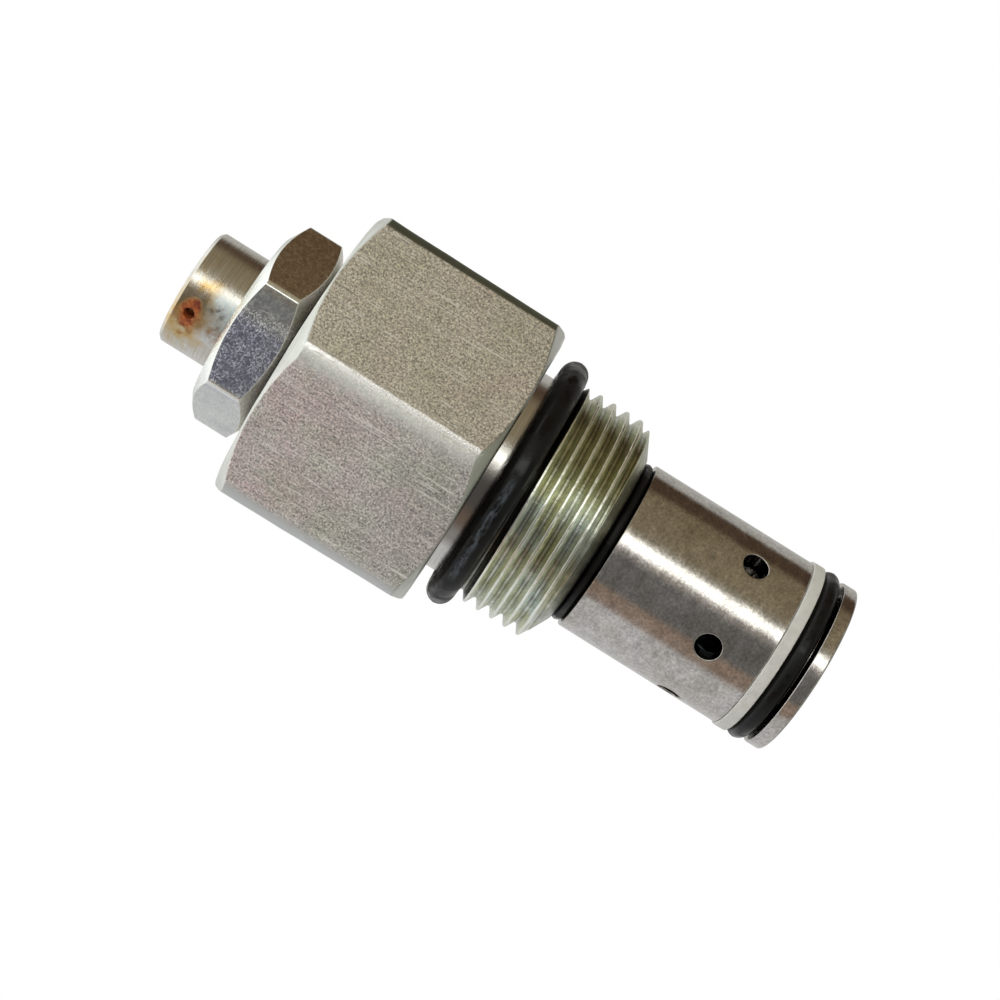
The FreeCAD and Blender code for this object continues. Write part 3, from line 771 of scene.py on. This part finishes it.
def zinc_hex():
    """The plug: blasted zinc on the hexagon, turned bevels, and a film of yellow zinc on the thread.

    The pale line and bands at the near corner, the dark and grey corner strips and the warmer upper face are
    painted reflections. The brown on the neck is painted shade and reflection; the black in the gaps and the
    darker upper side of the thread are painted shade. All are tones fixed to the metal.
    """
    g = Graph("zinc_grain", Metallic=1.0)
    z = g.xyz()[2]
    r = g.radius()
    low = g.span(z, -0.0040, -0.0037, 1, 0)  # thread and end cone
    neck = g.math("MULTIPLY", g.span(z, 0.0, 0.0003, 1, 0), g.span(low, 0, 1, 1, 0))
    rise = g.math("MULTIPLY", g.math("SUBTRACT", r, HEX_TOP_CIRCLE * MM), TAN30)
    top_bevel = g.span(g.math("ADD", rise, g.math("SUBTRACT", z, PLUG_HIGH * MM)), -0.00014, 0.0)
    rise = g.math("MULTIPLY", g.math("SUBTRACT", r, HEX_SEAT_CIRCLE * MM), TAN30)
    seat_bevel = g.span(g.math("SUBTRACT", rise, z), -0.00014, 0.0)
    bevel = g.math("MAXIMUM", top_bevel, g.math("MULTIPLY", seat_bevel, g.span(z, -0.0001, 0.0)))
    wander = g.span(g.noise(g.place(), 1.1), 0.3, 0.7, -0.00006, 0.00006)
    corner = g.span(g.math("ADD", r, wander), 0.01682, 0.01698)
    ragged = g.span(g.noise(g.place((1, 1, 0.6)), 1.3, 4, 0.6), 0.3, 0.7, -0.0005, 0.0005)
    along = g.math("ADD", g.toward(-30), ragged)
    across_corner = g.math("ADD", g.toward(0), wander)
    # painted reflection: a pale band on the lower face beside the near corner, and a fainter one beside the
    # corner at -150
    painted_sheen = g.math("MULTIPLY", g.span(along, 0.0066, 0.0080), g.span(g.toward(-120), 0.0136, 0.0146))
    across = g.math("ADD", g.toward(150), ragged)
    painted_low_sheen = g.math("MULTIPLY", g.span(across, 0.0068, 0.0076), g.span(g.toward(-120), 0.0136, 0.0146))
    painted_sheen = g.math("MAXIMUM", painted_sheen, g.math("MULTIPLY", painted_low_sheen, 0.45))
    # painted reflection: a dark strip along the corner at -30
    painted_dark_strip = g.math(
        "MULTIPLY", g.span(g.toward(0), 0.01405, 0.0142), g.span(g.toward(-60), 0.01515, 0.0150)
    )
    painted_dark_strip = g.math("MULTIPLY", painted_dark_strip, g.span(g.toward(-30), 0.0161, 0.0164))

    grain = g.noise(g.place(), 5.0, 5, 0.7)
    fine = g.noise(g.place(shift=(7, 3, 1)), 9.0, 3, 0.6)
    glint = g.span(g.noise(g.place(shift=(2, 6, 3)), 5.5, 3, 0.6), 0.60, 0.70)
    cluster = g.span(g.noise(g.place(shift=(5, 2, 9)), 0.8, 3, 0.6), 0.42, 0.62, 0.15, 1.0)
    drawn = g.noise(g.place((4.0, 4.0, 0.16)), 1.4, 5, 0.6)
    streak = g.span(g.noise(g.place((4.0, 4.0, 0.16), (2, 8, 3)), 1.1, 3, 0.55), 0.585, 0.64)
    dense = g.span(g.noise(g.place(shift=(6, 1, 4)), 0.22, 2, 0.5), 0.42, 0.60, 0.15, 1.0)
    streak = g.math("MULTIPLY", streak, dense)
    patch = g.noise(g.place(shift=(3, 9, 5)), 0.14, 3, 0.5)
    tint = g.noise(g.place(shift=(1, 4, 8)), 0.20, 2, 0.5)
    pit = g.span(g.noise(g.place(shift=(8, 2, 6)), 1.6, 4, 0.7), 0.66, 0.74)

    grey = g.blend(g.span(patch, 0.35, 0.65), tone(0.62, 0.60, 0.54), tone(0.70, 0.67, 0.63))
    grey = g.blend(g.span(tint, 0.50, 0.68, 0, 0.5), grey, tone(0.68, 0.58, 0.57))
    grey = g.blend(g.span(tint, 0.46, 0.28, 0, 0.5), grey, tone(0.55, 0.59, 0.47))
    # painted reflection: a warmer, paler tone on the upper face, towards azimuth -60
    painted_upper_reflection = g.span(g.toward(-60), 0.0140, 0.0149)
    grey = g.blend(g.math("MULTIPLY", painted_upper_reflection, 0.4), grey, tone(0.80, 0.74, 0.57))
    lower = g.span(g.toward(-120), 0.0140, 0.0149)
    pink = g.span(g.noise(g.place(shift=(1, 1, 7)), 0.25, 3, 0.55), 0.40, 0.58)
    pink = g.math("MULTIPLY", g.span(z, 0.008, 0.017), pink)
    grey = g.blend(g.math("MULTIPLY", g.math("MULTIPLY", pink, lower), 0.5), grey, tone(0.70, 0.54, 0.55))
    # darker grey on the lower face towards its seat end
    seat_end_darkening = g.math("MULTIPLY", g.span(z, 0.009, 0.002), lower)
    grey = g.blend(g.math("MULTIPLY", seat_end_darkening, 0.4), grey, tone(0.46, 0.44, 0.43))
    speck = g.span(grain, 0.36, 0.64, 0.40, 1.56)
    speck = g.math("MULTIPLY", speck, g.span(fine, 0.30, 0.70, 0.74, 1.26))
    speck = g.math("MULTIPLY", speck, g.span(drawn, 0.35, 0.65, 0.90, 1.10))
    faces = g.blend(1.0, grey, speck, "MULTIPLY")
    faces = g.blend(g.math("MULTIPLY", streak, 0.8), faces, tone(1.0, 0.99, 0.95))
    # painted reflection: pale bands on the lower face beside two corners
    faces = g.blend(g.math("MULTIPLY", painted_sheen, 0.62), faces, tone(0.90, 0.93, 0.91))
    faces = g.blend(g.math("MULTIPLY", pit, 0.5), faces, tone(0.20, 0.18, 0.15))
    glint = g.math("MULTIPLY", glint, cluster)
    faces = g.blend(g.math("MULTIPLY", glint, 0.75), faces, tone(1.0, 0.98, 0.92))
    polish = g.blend(1.0, tone(0.92, 0.94, 0.92), g.span(speck, 0.4, 1.7, 0.78, 1.08), "MULTIPLY")
    faces = g.blend(g.math("MULTIPLY", corner, 0.7), faces, polish)
    # painted highlight: a near-white line along the rounding of the near corner
    painted_ridge_highlight = g.math(
        "MULTIPLY", g.span(across_corner, 0.00030, 0.00042), g.span(across_corner, 0.00094, 0.00086)
    )
    painted_ridge_highlight = g.math("MULTIPLY", painted_ridge_highlight, g.span(g.toward(-90), 0.0164, 0.0166))
    faces = g.blend(painted_ridge_highlight, faces, tone(1.0, 1.0, 0.98))
    # painted reflection: a grey strip along the corner at -150
    painted_grey_strip = g.math(
        "MULTIPLY", g.span(g.toward(180), 0.0139, 0.0142), g.span(g.toward(-150), 0.0161, 0.0164)
    )
    faces = g.blend(g.math("MULTIPLY", painted_grey_strip, 0.9), faces, tone(0.66, 0.68, 0.68))
    faces = g.blend(painted_dark_strip, faces, tone(0.17, 0.18, 0.13))
    turned = g.noise(g.place((0.2, 0.2, 5.0), (4, 4, 4)), 1.6, 4, 0.6)
    bright = g.blend(g.span(turned, 0.35, 0.65), tone(0.62, 0.63, 0.58), tone(0.74, 0.76, 0.72))
    faces = g.blend(bevel, faces, bright)
    steel = g.blend(g.span(turned, 0.35, 0.65), tone(0.56, 0.54, 0.50), tone(0.66, 0.65, 0.62))
    # painted shade and dark reflection of the O-ring and hexagon: a brown band on the neck towards azimuth -115
    painted_neck_shade = g.span(g.toward(-115), 0.00975, 0.0103)
    steel = g.blend(g.math("MULTIPLY", painted_neck_shade, 0.85), steel, tone(0.24, 0.22, 0.20))
    film = g.noise(g.place((0.35, 0.35, 1.6), (2, 2, 2)), 0.6, 4, 0.6)
    zinc = g.blend(g.span(film, 0.36, 0.64), tone(0.72, 0.72, 0.50), tone(0.80, 0.86, 0.82))
    # painted shade: a darker olive tone on the thread's side towards azimuth -50
    yellow = g.span(g.toward(-50), 0.0085, 0.0108)
    zinc = g.blend(g.math("MULTIPLY", yellow, 0.75), zinc, tone(0.56, 0.56, 0.36))
    zinc = g.blend(1.0, zinc, g.span(fine, 0.3, 0.7, 0.75, 1.2), "MULTIPLY")
    rolled = g.noise(g.place((0.25, 0.25, 5.0), (3, 1, 6)), 1.4, 4, 0.7)
    zinc = g.blend(1.0, zinc, g.span(rolled, 0.3, 0.7, 0.62, 1.3), "MULTIPLY")
    zinc = g.blend(g.span(r, 0.01176, 0.01188, 0, 0.62), zinc, tone(0.96, 0.97, 0.90))
    # darker, unevenly, in the thread's roots
    root_darkening = g.span(g.noise(g.place(), 0.7), 0.3, 0.6, 0.15, 0.55)
    root_darkening = g.math("MULTIPLY", g.span(r, 0.01125, 0.01100), root_darkening)
    zinc = g.blend(root_darkening, zinc, tone(0.13, 0.13, 0.09))
    # painted shade: near-black at the start of the thread, beside the O-ring
    zinc = g.blend(g.span(z, -0.0046, -0.0041, 0, 0.9), zinc, tone(0.05, 0.045, 0.045))
    # painted shade: black at the end of the cone, in the gap at the sleeve
    zinc = g.blend(g.span(z, -0.01262, -0.01275), zinc, tone(0.03, 0.03, 0.028))
    colour = g.blend(neck, faces, steel)
    # painted shade: black in the groove below the neck
    colour = g.blend(g.span(z, -0.00160, -0.00166), colour, tone(0.05, 0.045, 0.045))
    colour = g.blend(low, colour, zinc)

    polished = g.math("MAXIMUM", corner, bevel)
    rough = g.span(bevel, 0, 1, 0.50, 0.36)
    rough = g.math("MULTIPLY", rough, g.span(corner, 0, 1, 1.0, 1.25))
    rough = g.math("ADD", rough, g.span(grain, 0.3, 0.7, -0.08, 0.1))
    rough = g.math("MULTIPLY", rough, g.span(painted_ridge_highlight, 0, 1, 1.0, 0.5))
    rough = g.math("MULTIPLY", rough, g.span(low, 0, 1, 1.0, 0.46))
    rough = g.math("MULTIPLY", rough, g.span(neck, 0, 1, 1.0, 0.28))
    depth = g.math("ADD", g.math("MULTIPLY", grain, 0.8), g.math("MULTIPLY", fine, 0.6))
    smooth = g.math("MAXIMUM", polished, g.math("MAXIMUM", neck, low))
    depth = g.math("MULTIPLY", depth, g.span(smooth, 0, 1, 1, 0.15))
    depth = g.math("ADD", depth, g.math("MULTIPLY", drawn, g.span(neck, 0, 1, 0.3, 0.03)))
    lip = g.math(
        "MULTIPLY", g.span(across_corner, 0.00040, 0.00090, 0, 1.75), g.span(g.toward(-90), 0.0030, 0.0150)
    )
    on_flats = g.math("MULTIPLY", g.span(z, 0.0, 0.0001), g.span(bevel, 0, 1, 1, 0))
    lip = g.math("MULTIPLY", lip, on_flats)
    depth = g.math("ADD", depth, lip)  # a rolled edge along the near corner
    normal = g.bump(depth, 0.75, 0.11)
    return g.finish(Base_Color=colour, Roughness=rough, Normal=normal)


def zinc_nut():
    """The lock nut: smooth zinc with scratches, and painted reflections: a blue tone on one side, an olive one
    on another.
    """
    g = Graph("zinc_nut", Metallic=1.0)
    z = g.xyz()[2]
    grain = g.noise(g.place(), 2.6, 5, 0.65)
    fine = g.noise(g.place(shift=(3, 1, 2)), 7.0, 3, 0.6)
    patch = g.noise(g.place(shift=(5, 5, 5)), 0.35, 3, 0.5)
    nick = g.span(g.noise(g.place(), 0.5), 0.56, 0.64)
    nick = g.math("MULTIPLY", g.cracks(g.place(), 0.8, 0.045), nick)
    dust = g.span(g.noise(g.place((1, 1, 1.3), (6, 2, 4)), 5.0, 4, 0.75), 0.53, 0.62)
    group = g.span(g.noise(g.place(shift=(2, 2, 2)), 0.7, 3, 0.6), 0.36, 0.56, 0.3, 1.0)
    dust = g.math("MULTIPLY", dust, group)
    lines = g.math("MAXIMUM", g.math("MULTIPLY", nick, 0.8), g.math("MULTIPLY", dust, 0.75))
    r = g.radius()
    lines = g.math("MULTIPLY", lines, g.span(g.toward(-40), 0.0080, 0.0070, 0.06, 1.0))
    # painted reflections: a blue tone on the face towards azimuth -100, an olive one on the side towards -40
    painted_blue_reflection = g.math(
        "MULTIPLY", g.span(g.toward(-100), 0.0085, 0.0094), g.span(g.toward(-40), 0.0068, 0.0056)
    )
    painted_olive_reflection = g.span(g.toward(-40), 0.0085, 0.0094)
    base = g.blend(g.span(patch, 0.35, 0.65), tone(0.60, 0.61, 0.60), tone(0.74, 0.76, 0.74))
    base = g.blend(g.math("MULTIPLY", painted_blue_reflection, 0.85), base, tone(0.42, 0.44, 0.58))
    base = g.blend(g.math("MULTIPLY", painted_olive_reflection, 0.85), base, tone(0.80, 0.70, 0.50))
    colour = g.blend(1.0, base, g.span(grain, 0.3, 0.7, 0.80, 1.16), "MULTIPLY")
    colour = g.blend(1.0, colour, g.span(fine, 0.3, 0.7, 0.8, 1.2), "MULTIPLY")
    rise = g.math("MULTIPLY", g.math("SUBTRACT", r, NUT_FACE * MM), TAN30)
    top = g.span(g.math("ADD", rise, g.math("SUBTRACT", z, NUT_HIGH * MM)), -0.0001, 0.0)
    bottom = g.span(g.math("SUBTRACT", rise, g.math("SUBTRACT", z, NUT_LOW * MM)), -0.0001, 0.0)
    edge = g.math("MAXIMUM", g.math("MAXIMUM", top, bottom), g.span(r, 0.0107, 0.01084))
    colour = g.blend(edge, colour, tone(0.86, 0.88, 0.84))
    colour = g.blend(g.math("MULTIPLY", lines, 0.8), colour, tone(0.95, 0.96, 0.97))
    rough = g.span(grain, 0.3, 0.7, 0.16, 0.30)
    rough = g.math("ADD", rough, g.math("MULTIPLY", lines, 0.25), clamp=True)
    depth = g.math("SUBTRACT", g.math("MULTIPLY", grain, 0.35), g.math("MULTIPLY", lines, 0.4))
    return g.finish(Base_Color=colour, Roughness=rough, Normal=g.bump(depth, 0.5, 0.06))


def turned_screw():
    """Turned steel, with an orange stain of rust at the wire hole."""
    g = Graph("turned_steel", Metallic=1.0)
    z = g.xyz()[2]
    lines = g.noise(g.place((0.10, 0.10, 6.0)), 2.5, 5, 0.65)
    grain = g.noise(g.place(), 3.0, 4, 0.6)
    patch = g.noise(g.place(shift=(2, 6, 4)), 0.3, 3, 0.5)
    steel = g.blend(g.span(patch, 0.35, 0.65), tone(0.64, 0.61, 0.54), tone(0.72, 0.71, 0.67))
    steel = g.blend(1.0, steel, g.span(lines, 0.3, 0.7, 0.72, 1.18), "MULTIPLY")
    cloud = g.span(g.noise(g.place(shift=(6, 6, 1)), 0.55, 3, 0.6), 0.36, 0.46)
    cloud = g.math("MULTIPLY", cloud, g.span(g.toward(-108), 0.0053, 0.0057))
    cloud = g.math("MULTIPLY", cloud, g.span(z, 0.0305, 0.0298))
    mottled = g.blend(g.span(grain, 0.35, 0.65), tone(0.66, 0.80, 0.84), tone(0.94, 1.0, 1.0))
    steel = g.blend(g.math("MULTIPLY", cloud, 0.75), steel, mottled)
    yellow = g.math("MULTIPLY", g.span(z, 0.0300, 0.0315), g.span(g.toward(-125), 0.0050, 0.0057))
    yellow = g.math("MULTIPLY", yellow, g.span(z, 0.0328, 0.0326))
    steel = g.blend(g.math("MULTIPLY", yellow, 0.4), steel, tone(0.52, 0.46, 0.24))
    halo = rust_mask(g, 0.0028, 0.0008)
    steel = g.blend(g.math("MULTIPLY", halo, 0.8), steel, tone(0.56, 0.36, 0.10))
    stain = rust_mask(g, 0.0012, 0.0006)
    mottle = g.noise(g.place(), 1.6, 4, 0.7)
    rust = g.blend(g.span(mottle, 0.35, 0.65), tone(0.20, 0.03, 0.01), tone(0.66, 0.20, 0.05))
    colour = g.blend(stain, steel, rust)
    rough = g.math("ADD", g.span(grain, 0.3, 0.7, 0.16, 0.26), g.math("MULTIPLY", stain, 0.35), clamp=True)
    rough = g.math("ADD", rough, g.math("MULTIPLY", cloud, 0.25), clamp=True)
    metal = g.span(stain, 0, 1, 1.0, 0.1)
    matte = g.math("MAXIMUM", stain, cloud)
    depth = g.math("ADD", lines, g.math("MULTIPLY", grain, g.span(matte, 0, 1, 0.3, 1.6)))
    return g.finish(Base_Color=colour, Roughness=rough, Metallic=metal, Normal=g.bump(depth, 0.35, 0.03))


def rust_mask(g, far, near):
    """1 in and beside the wire hole, fading with a ragged edge from one distance to another."""
    angle = math.radians(WIRE_HOLE_ANGLE)
    centre = Vector((math.cos(angle) * SCREW_RADIUS, math.sin(angle) * SCREW_RADIUS, WIRE_HOLE_Z)) * MM
    coord = g.node("ShaderNodeTexCoord").outputs["Object"]
    away = g.node("ShaderNodeVectorMath", {0: coord, 1: tuple(centre)}, operation="SUBTRACT").outputs[0]
    away = g.node("ShaderNodeVectorMath", {0: away, 1: (0.5, 0.5, 1.0)}, operation="MULTIPLY").outputs[0]
    distance = g.node("ShaderNodeVectorMath", {0: away}, operation="LENGTH").outputs["Value"]
    ragged = g.noise(g.place(), 0.8, 3, 0.5)
    swing = far * 0.35
    distance = g.math("ADD", distance, g.span(ragged, 0.3, 0.7, -swing, swing))
    return g.span(distance, far, near, 0, 1)


def ground_sleeve():
    """Ground steel with fine marks round it, dull clouds and small pits."""
    g = Graph("ground_steel", Metallic=1.0)
    lines = g.noise(g.place((0.08, 0.08, 5.0)), 3.0, 5, 0.7)
    cloud = g.noise(g.place(shift=(4, 1, 7)), 0.35, 4, 0.6)
    grain = g.noise(g.place(), 3.6, 5, 0.7)
    mottle = g.noise(g.place((0.6, 0.6, 1.0), (2, 5, 1)), 1.1, 4, 0.65)
    pit = g.span(g.noise(g.place(shift=(7, 7, 2)), 2.2, 3, 0.7), 0.68, 0.75)
    steel = g.blend(g.span(cloud, 0.35, 0.65), tone(0.54, 0.51, 0.47), tone(0.62, 0.60, 0.58))
    colour = g.blend(1.0, steel, g.span(lines, 0.3, 0.7, 0.86, 1.10), "MULTIPLY")
    colour = g.blend(1.0, colour, g.span(grain, 0.34, 0.66, 0.70, 1.24), "MULTIPLY")
    colour = g.blend(1.0, colour, g.span(mottle, 0.3, 0.7, 0.78, 1.16), "MULTIPLY")
    colour = g.blend(g.math("MULTIPLY", pit, 0.5), colour, tone(0.12, 0.10, 0.08))
    rough = g.math("ADD", g.span(lines, 0.3, 0.7, 0.05, 0.10), g.span(mottle, 0.45, 0.7, 0.0, 0.08))
    depth = g.math("ADD", g.math("MULTIPLY", lines, 0.6), g.math("MULTIPLY", grain, 0.8))
    return g.finish(Base_Color=colour, Roughness=rough, Normal=g.bump(depth, 0.32, 0.02))


def rubber():
    """Black rubber, wet with oil in places, with a painted bluish highlight streak on the port ring."""
    g = Graph("nitrile", Metallic=0.0, Specular_IOR_Level=0.25)
    grain = g.noise(g.place(), 2.5, 4, 0.6)
    smear = g.noise(g.place(shift=(3, 2, 1)), 0.5, 3, 0.6)
    wet = g.span(smear, 0.46, 0.6)
    colour = g.blend(wet, tone(0.005, 0.005, 0.005), tone(0.003, 0.003, 0.003))
    z = g.xyz()[2]
    # painted highlight: a broken bluish streak along the port ring
    painted_streak_highlight = g.math("MULTIPLY", g.span(z, -0.0022, -0.0024), g.span(z, -0.0031, -0.0028))
    painted_streak_highlight = g.math("MULTIPLY", painted_streak_highlight, g.span(g.toward(-115), 0.0119, 0.0126))
    broken = g.span(g.noise(g.place((1.0, 1.0, 3.0), (4, 4, 1)), 0.9, 4, 0.65), 0.42, 0.6)
    painted_streak_highlight = g.math("MULTIPLY", painted_streak_highlight, broken)
    colour = g.blend(g.math("MULTIPLY", painted_streak_highlight, 0.8), colour, tone(0.11, 0.13, 0.155))
    rough = g.math("ADD", g.span(wet, 0, 1, 0.46, 0.14), g.span(grain, 0.3, 0.7, -0.04, 0.06))
    return g.finish(Base_Color=colour, Roughness=rough, Normal=g.bump(grain, 0.3, 0.03))


def white_plastic():
    g = Graph("ptfe", Metallic=0.0)
    grain = g.noise(g.place((0.3, 0.3, 3.0)), 2.0, 4, 0.6)
    smear = g.noise(g.place(), 0.8, 3, 0.6)
    colour = g.blend(g.span(smear, 0.35, 0.7), tone(0.82, 0.82, 0.79), tone(0.70, 0.70, 0.66))
    return g.finish(
        Base_Color=colour, Roughness=g.span(grain, 0.3, 0.7, 0.4, 0.55), Normal=g.bump(grain, 0.3, 0.03)
    )


def plain_steel(name, colour, low, high):
    """Machined steel for the pieces inside."""
    g = Graph(name, Metallic=1.0)
    lines = g.noise(g.place((0.15, 0.15, 5.0)), 2.0, 4, 0.6)
    grain = g.noise(g.place(), 3.0, 4, 0.6)
    base = g.blend(1.0, tone(*colour), g.span(lines, 0.3, 0.7, 0.8, 1.15), "MULTIPLY")
    rough = g.span(grain, 0.3, 0.7, low, high)
    return g.finish(Base_Color=base, Roughness=rough, Normal=g.bump(lines, 0.3, 0.03))


def repaint(node, material):
    """Gives a CAD node that stays in view a finished material."""
    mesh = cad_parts[node].data
    if not mesh.materials:
        mesh.materials.append(material)
    for i in range(len(mesh.materials)):
        mesh.materials[i] = material


# ---------------------------------------------------------------- set

CAMERA_ANGLE = math.radians(-91.3)  # azimuth at which the camera stands
CAMERA_HEIGHT = 5.0
CAMERA_DISTANCE = 237.5
CAMERA_ROLL = math.radians(32)  # how far the valve's axis dips below the picture's horizontal
FOCAL_IN_WIDTHS = 2.47
SHIFT = (0.0604, -0.0596)


def make_camera():
    outward = Vector((math.cos(CAMERA_ANGLE), math.sin(CAMERA_ANGLE), 0))
    up_axis = Vector((0, 0, 1))
    around = up_axis.cross(outward)
    right = -math.cos(CAMERA_ROLL) * up_axis + math.sin(CAMERA_ROLL) * around
    up = math.sin(CAMERA_ROLL) * up_axis + math.cos(CAMERA_ROLL) * around
    data = bpy.data.cameras.new("camera")
    data.sensor_width = 36
    data.lens = 36 * FOCAL_IN_WIDTHS
    data.shift_x, data.shift_y = SHIFT
    data.clip_start = 0.01
    data.clip_end = 20
    camera = bpy.data.objects.new("camera", data)
    spot = outward * CAMERA_DISTANCE * MM + up_axis * CAMERA_HEIGHT * MM
    turn = Matrix((right, up, outward)).transposed().to_4x4()
    camera.matrix_world = Matrix.Translation(spot) @ turn
    bpy.context.scene.collection.objects.link(camera)
    bpy.context.scene.camera = camera


def make_floor():
    """A white glowing floor well below the valve. Only the camera sees it, and no shadow falls on it."""
    size = 8.0
    level = cad_low.z - 0.25
    mesh = bpy.data.meshes.new("floor")
    corners = [(-size, -size, level), (size, -size, level), (size, size, level), (-size, size, level)]
    mesh.from_pydata(corners, [], [(0, 1, 2, 3)])
    floor = bpy.data.objects.new("floor", mesh)
    bpy.context.scene.collection.objects.link(floor)
    material = bpy.data.materials.new("pale_floor")
    material.use_nodes = True
    shader = material.node_tree.nodes["Principled BSDF"]
    shader.inputs["Base Color"].default_value = (0, 0, 0, 1)
    shader.inputs["Specular IOR Level"].default_value = 0
    shader.inputs["Emission Color"].default_value = (1, 1, 1, 1)
    shader.inputs["Emission Strength"].default_value = 1.0
    mesh.materials.append(material)
    floor.visible_glossy = False
    floor.visible_diffuse = False
    floor.visible_shadow = False


# The light round the valve, by angle from the camera towards the picture's lower left: (degrees, r, g, b).
SURROUND = [
    (-180, 0.58, 0.57, 0.55),
    (-131, 0.52, 0.51, 0.48),
    (-125, 0.10, 0.065, 0.042),
    (-101, 0.10, 0.065, 0.042),
    (-92, 0.26, 0.205, 0.13),
    (-38, 0.32, 0.27, 0.18),
    (-27, 0.50, 0.48, 0.40),
    (-23, 2.60, 2.60, 2.50),
    (-13, 2.60, 2.60, 2.50),
    (-9, 0.52, 0.49, 0.45),
    (-3, 0.40, 0.37, 0.34),
    (2, 0.20, 0.195, 0.19),
    (42, 0.19, 0.185, 0.18),
    (48, 0.36, 0.27, 0.21),
    (66, 0.38, 0.30, 0.25),
    (73, 0.68, 0.68, 0.69),
    (160, 0.68, 0.68, 0.68),
    (180, 0.58, 0.57, 0.55),
]
ABOVE = (1.25, 1.27, 1.25)  # beyond the adjuster's end
BELOW = (0.34, 0.34, 0.30)  # beyond the nose


def make_light():
    """Light from all round: a bright strip and darker, tinted stretches. The camera sees plain white."""
    world = bpy.data.worlds.new("studio")
    bpy.context.scene.world = world
    world.use_nodes = True
    tree = world.node_tree
    tree.nodes.clear()

    def new(kind, **settings):
        made = tree.nodes.new(kind)
        for key, setting in settings.items():
            setattr(made, key, setting)
        return made

    def calc(operation, a, b=0.0):
        made = new("ShaderNodeMath", operation=operation)
        for socket, source in zip(made.inputs, (a, b)):
            if isinstance(source, bpy.types.NodeSocket):
                tree.links.new(source, socket)
            else:
                socket.default_value = source
        return made.outputs[0]

    coord = new("ShaderNodeTexCoord")
    parts = new("ShaderNodeSeparateXYZ")
    tree.links.new(coord.outputs["Generated"], parts.inputs[0])
    x, y, z = parts.outputs
    # angle from the camera's direction, positive towards smaller azimuth, as 0 to 1
    c, s = math.cos(CAMERA_ANGLE), math.sin(CAMERA_ANGLE)
    along = calc("ADD", calc("MULTIPLY", x, c), calc("MULTIPLY", y, s))
    across = calc("SUBTRACT", calc("MULTIPLY", x, s), calc("MULTIPLY", y, c))
    turn = calc("ARCTAN2", across, along)
    place = calc("ADD", calc("DIVIDE", turn, 2 * math.pi), 0.5)
    peak = max(max(stop[1:]) for stop in SURROUND)
    ramp = new("ShaderNodeValToRGB")
    tree.links.new(place, ramp.inputs[0])
    stops = ramp.color_ramp.elements
    while len(stops) > 1:
        stops.remove(stops[-1])
    for i, (degrees, r, g, b) in enumerate(SURROUND):
        position = (degrees + 180) / 360
        stop = stops[0] if i == 0 else stops.new(position)
        stop.position = position
        stop.color = (r / peak, g / peak, b / peak, 1)
    colour = ramp.outputs[0]
    for rise, end in ((z, ABOVE), (calc("MULTIPLY", z, -1.0), BELOW)):
        share = new("ShaderNodeMapRange", interpolation_type="SMOOTHSTEP")
        tree.links.new(rise, share.inputs["Value"])
        share.inputs["From Min"].default_value = 0.35
        share.inputs["From Max"].default_value = 0.85
        fade = new("ShaderNodeMix", data_type="RGBA")
        tree.links.new(share.outputs[0], fade.inputs[0])
        tree.links.new(colour, fade.inputs[6])
        fade.inputs[7].default_value = tuple(part / peak for part in end) + (1,)
        colour = fade.outputs[2]
    light = new("ShaderNodeBackground")
    tree.links.new(colour, light.inputs[0])
    light.inputs[1].default_value = peak
    backdrop = new("ShaderNodeBackground")
    backdrop.inputs[0].default_value = (1, 1, 1, 1)
    ray = new("ShaderNodeLightPath")
    choose = new("ShaderNodeMixShader")
    tree.links.new(ray.outputs["Is Camera Ray"], choose.inputs[0])
    tree.links.new(light.outputs[0], choose.inputs[1])
    tree.links.new(backdrop.outputs[0], choose.inputs[2])
    out = new("ShaderNodeOutputWorld")
    tree.links.new(choose.outputs[0], out.inputs[0])
    bpy.context.scene.view_settings.view_transform = "Standard"


make_camera()
make_floor()
make_light()

make_plug()
make_nut()
make_screw()
make_sleeve()
black = rubber()
white = white_plastic()
make_o_ring("port_o_ring", "port_seal", "cartridge_body", black, 0.02)
make_o_ring("nose_o_ring", "nose_seal", "cartridge_body", black)
make_o_ring("junction_ring", "junction_seal", "cartridge_body", black)
make_flat_ring("nose_backup", "nose_backup_ring", BACKUP_BORE, "cartridge_body", white, 0.12)
make_flat_ring("nut_washer_ring", "nut_seal_washer", WASHER_BORE, "nut_washer", black, 0.1)

hard = plain_steel("hard_steel", (0.5, 0.5, 0.5), 0.2, 0.35)
wire = plain_steel("spring_wire", (0.3, 0.3, 0.31), 0.25, 0.4)
for node in ("spring_seat", "spring_shim", "pilot_poppet", "pilot_seat", "orifice_screw", "strainer"):
    repaint(node, hard)
# painted shade: the main poppet is near black so that the ports look dark inside
repaint("main_poppet", plain_steel("shade_dark_steel", (0.07, 0.085, 0.09), 0.12, 0.2))
for node in ("pilot_spring", "main_spring", "adjuster_stop_clip", "strainer_clip"):
    repaint(node, wire)
for node in ("adjuster_seal", "pilot_seat_seal"):
    repaint(node, black)
repaint("adjuster_backup_ring", white)
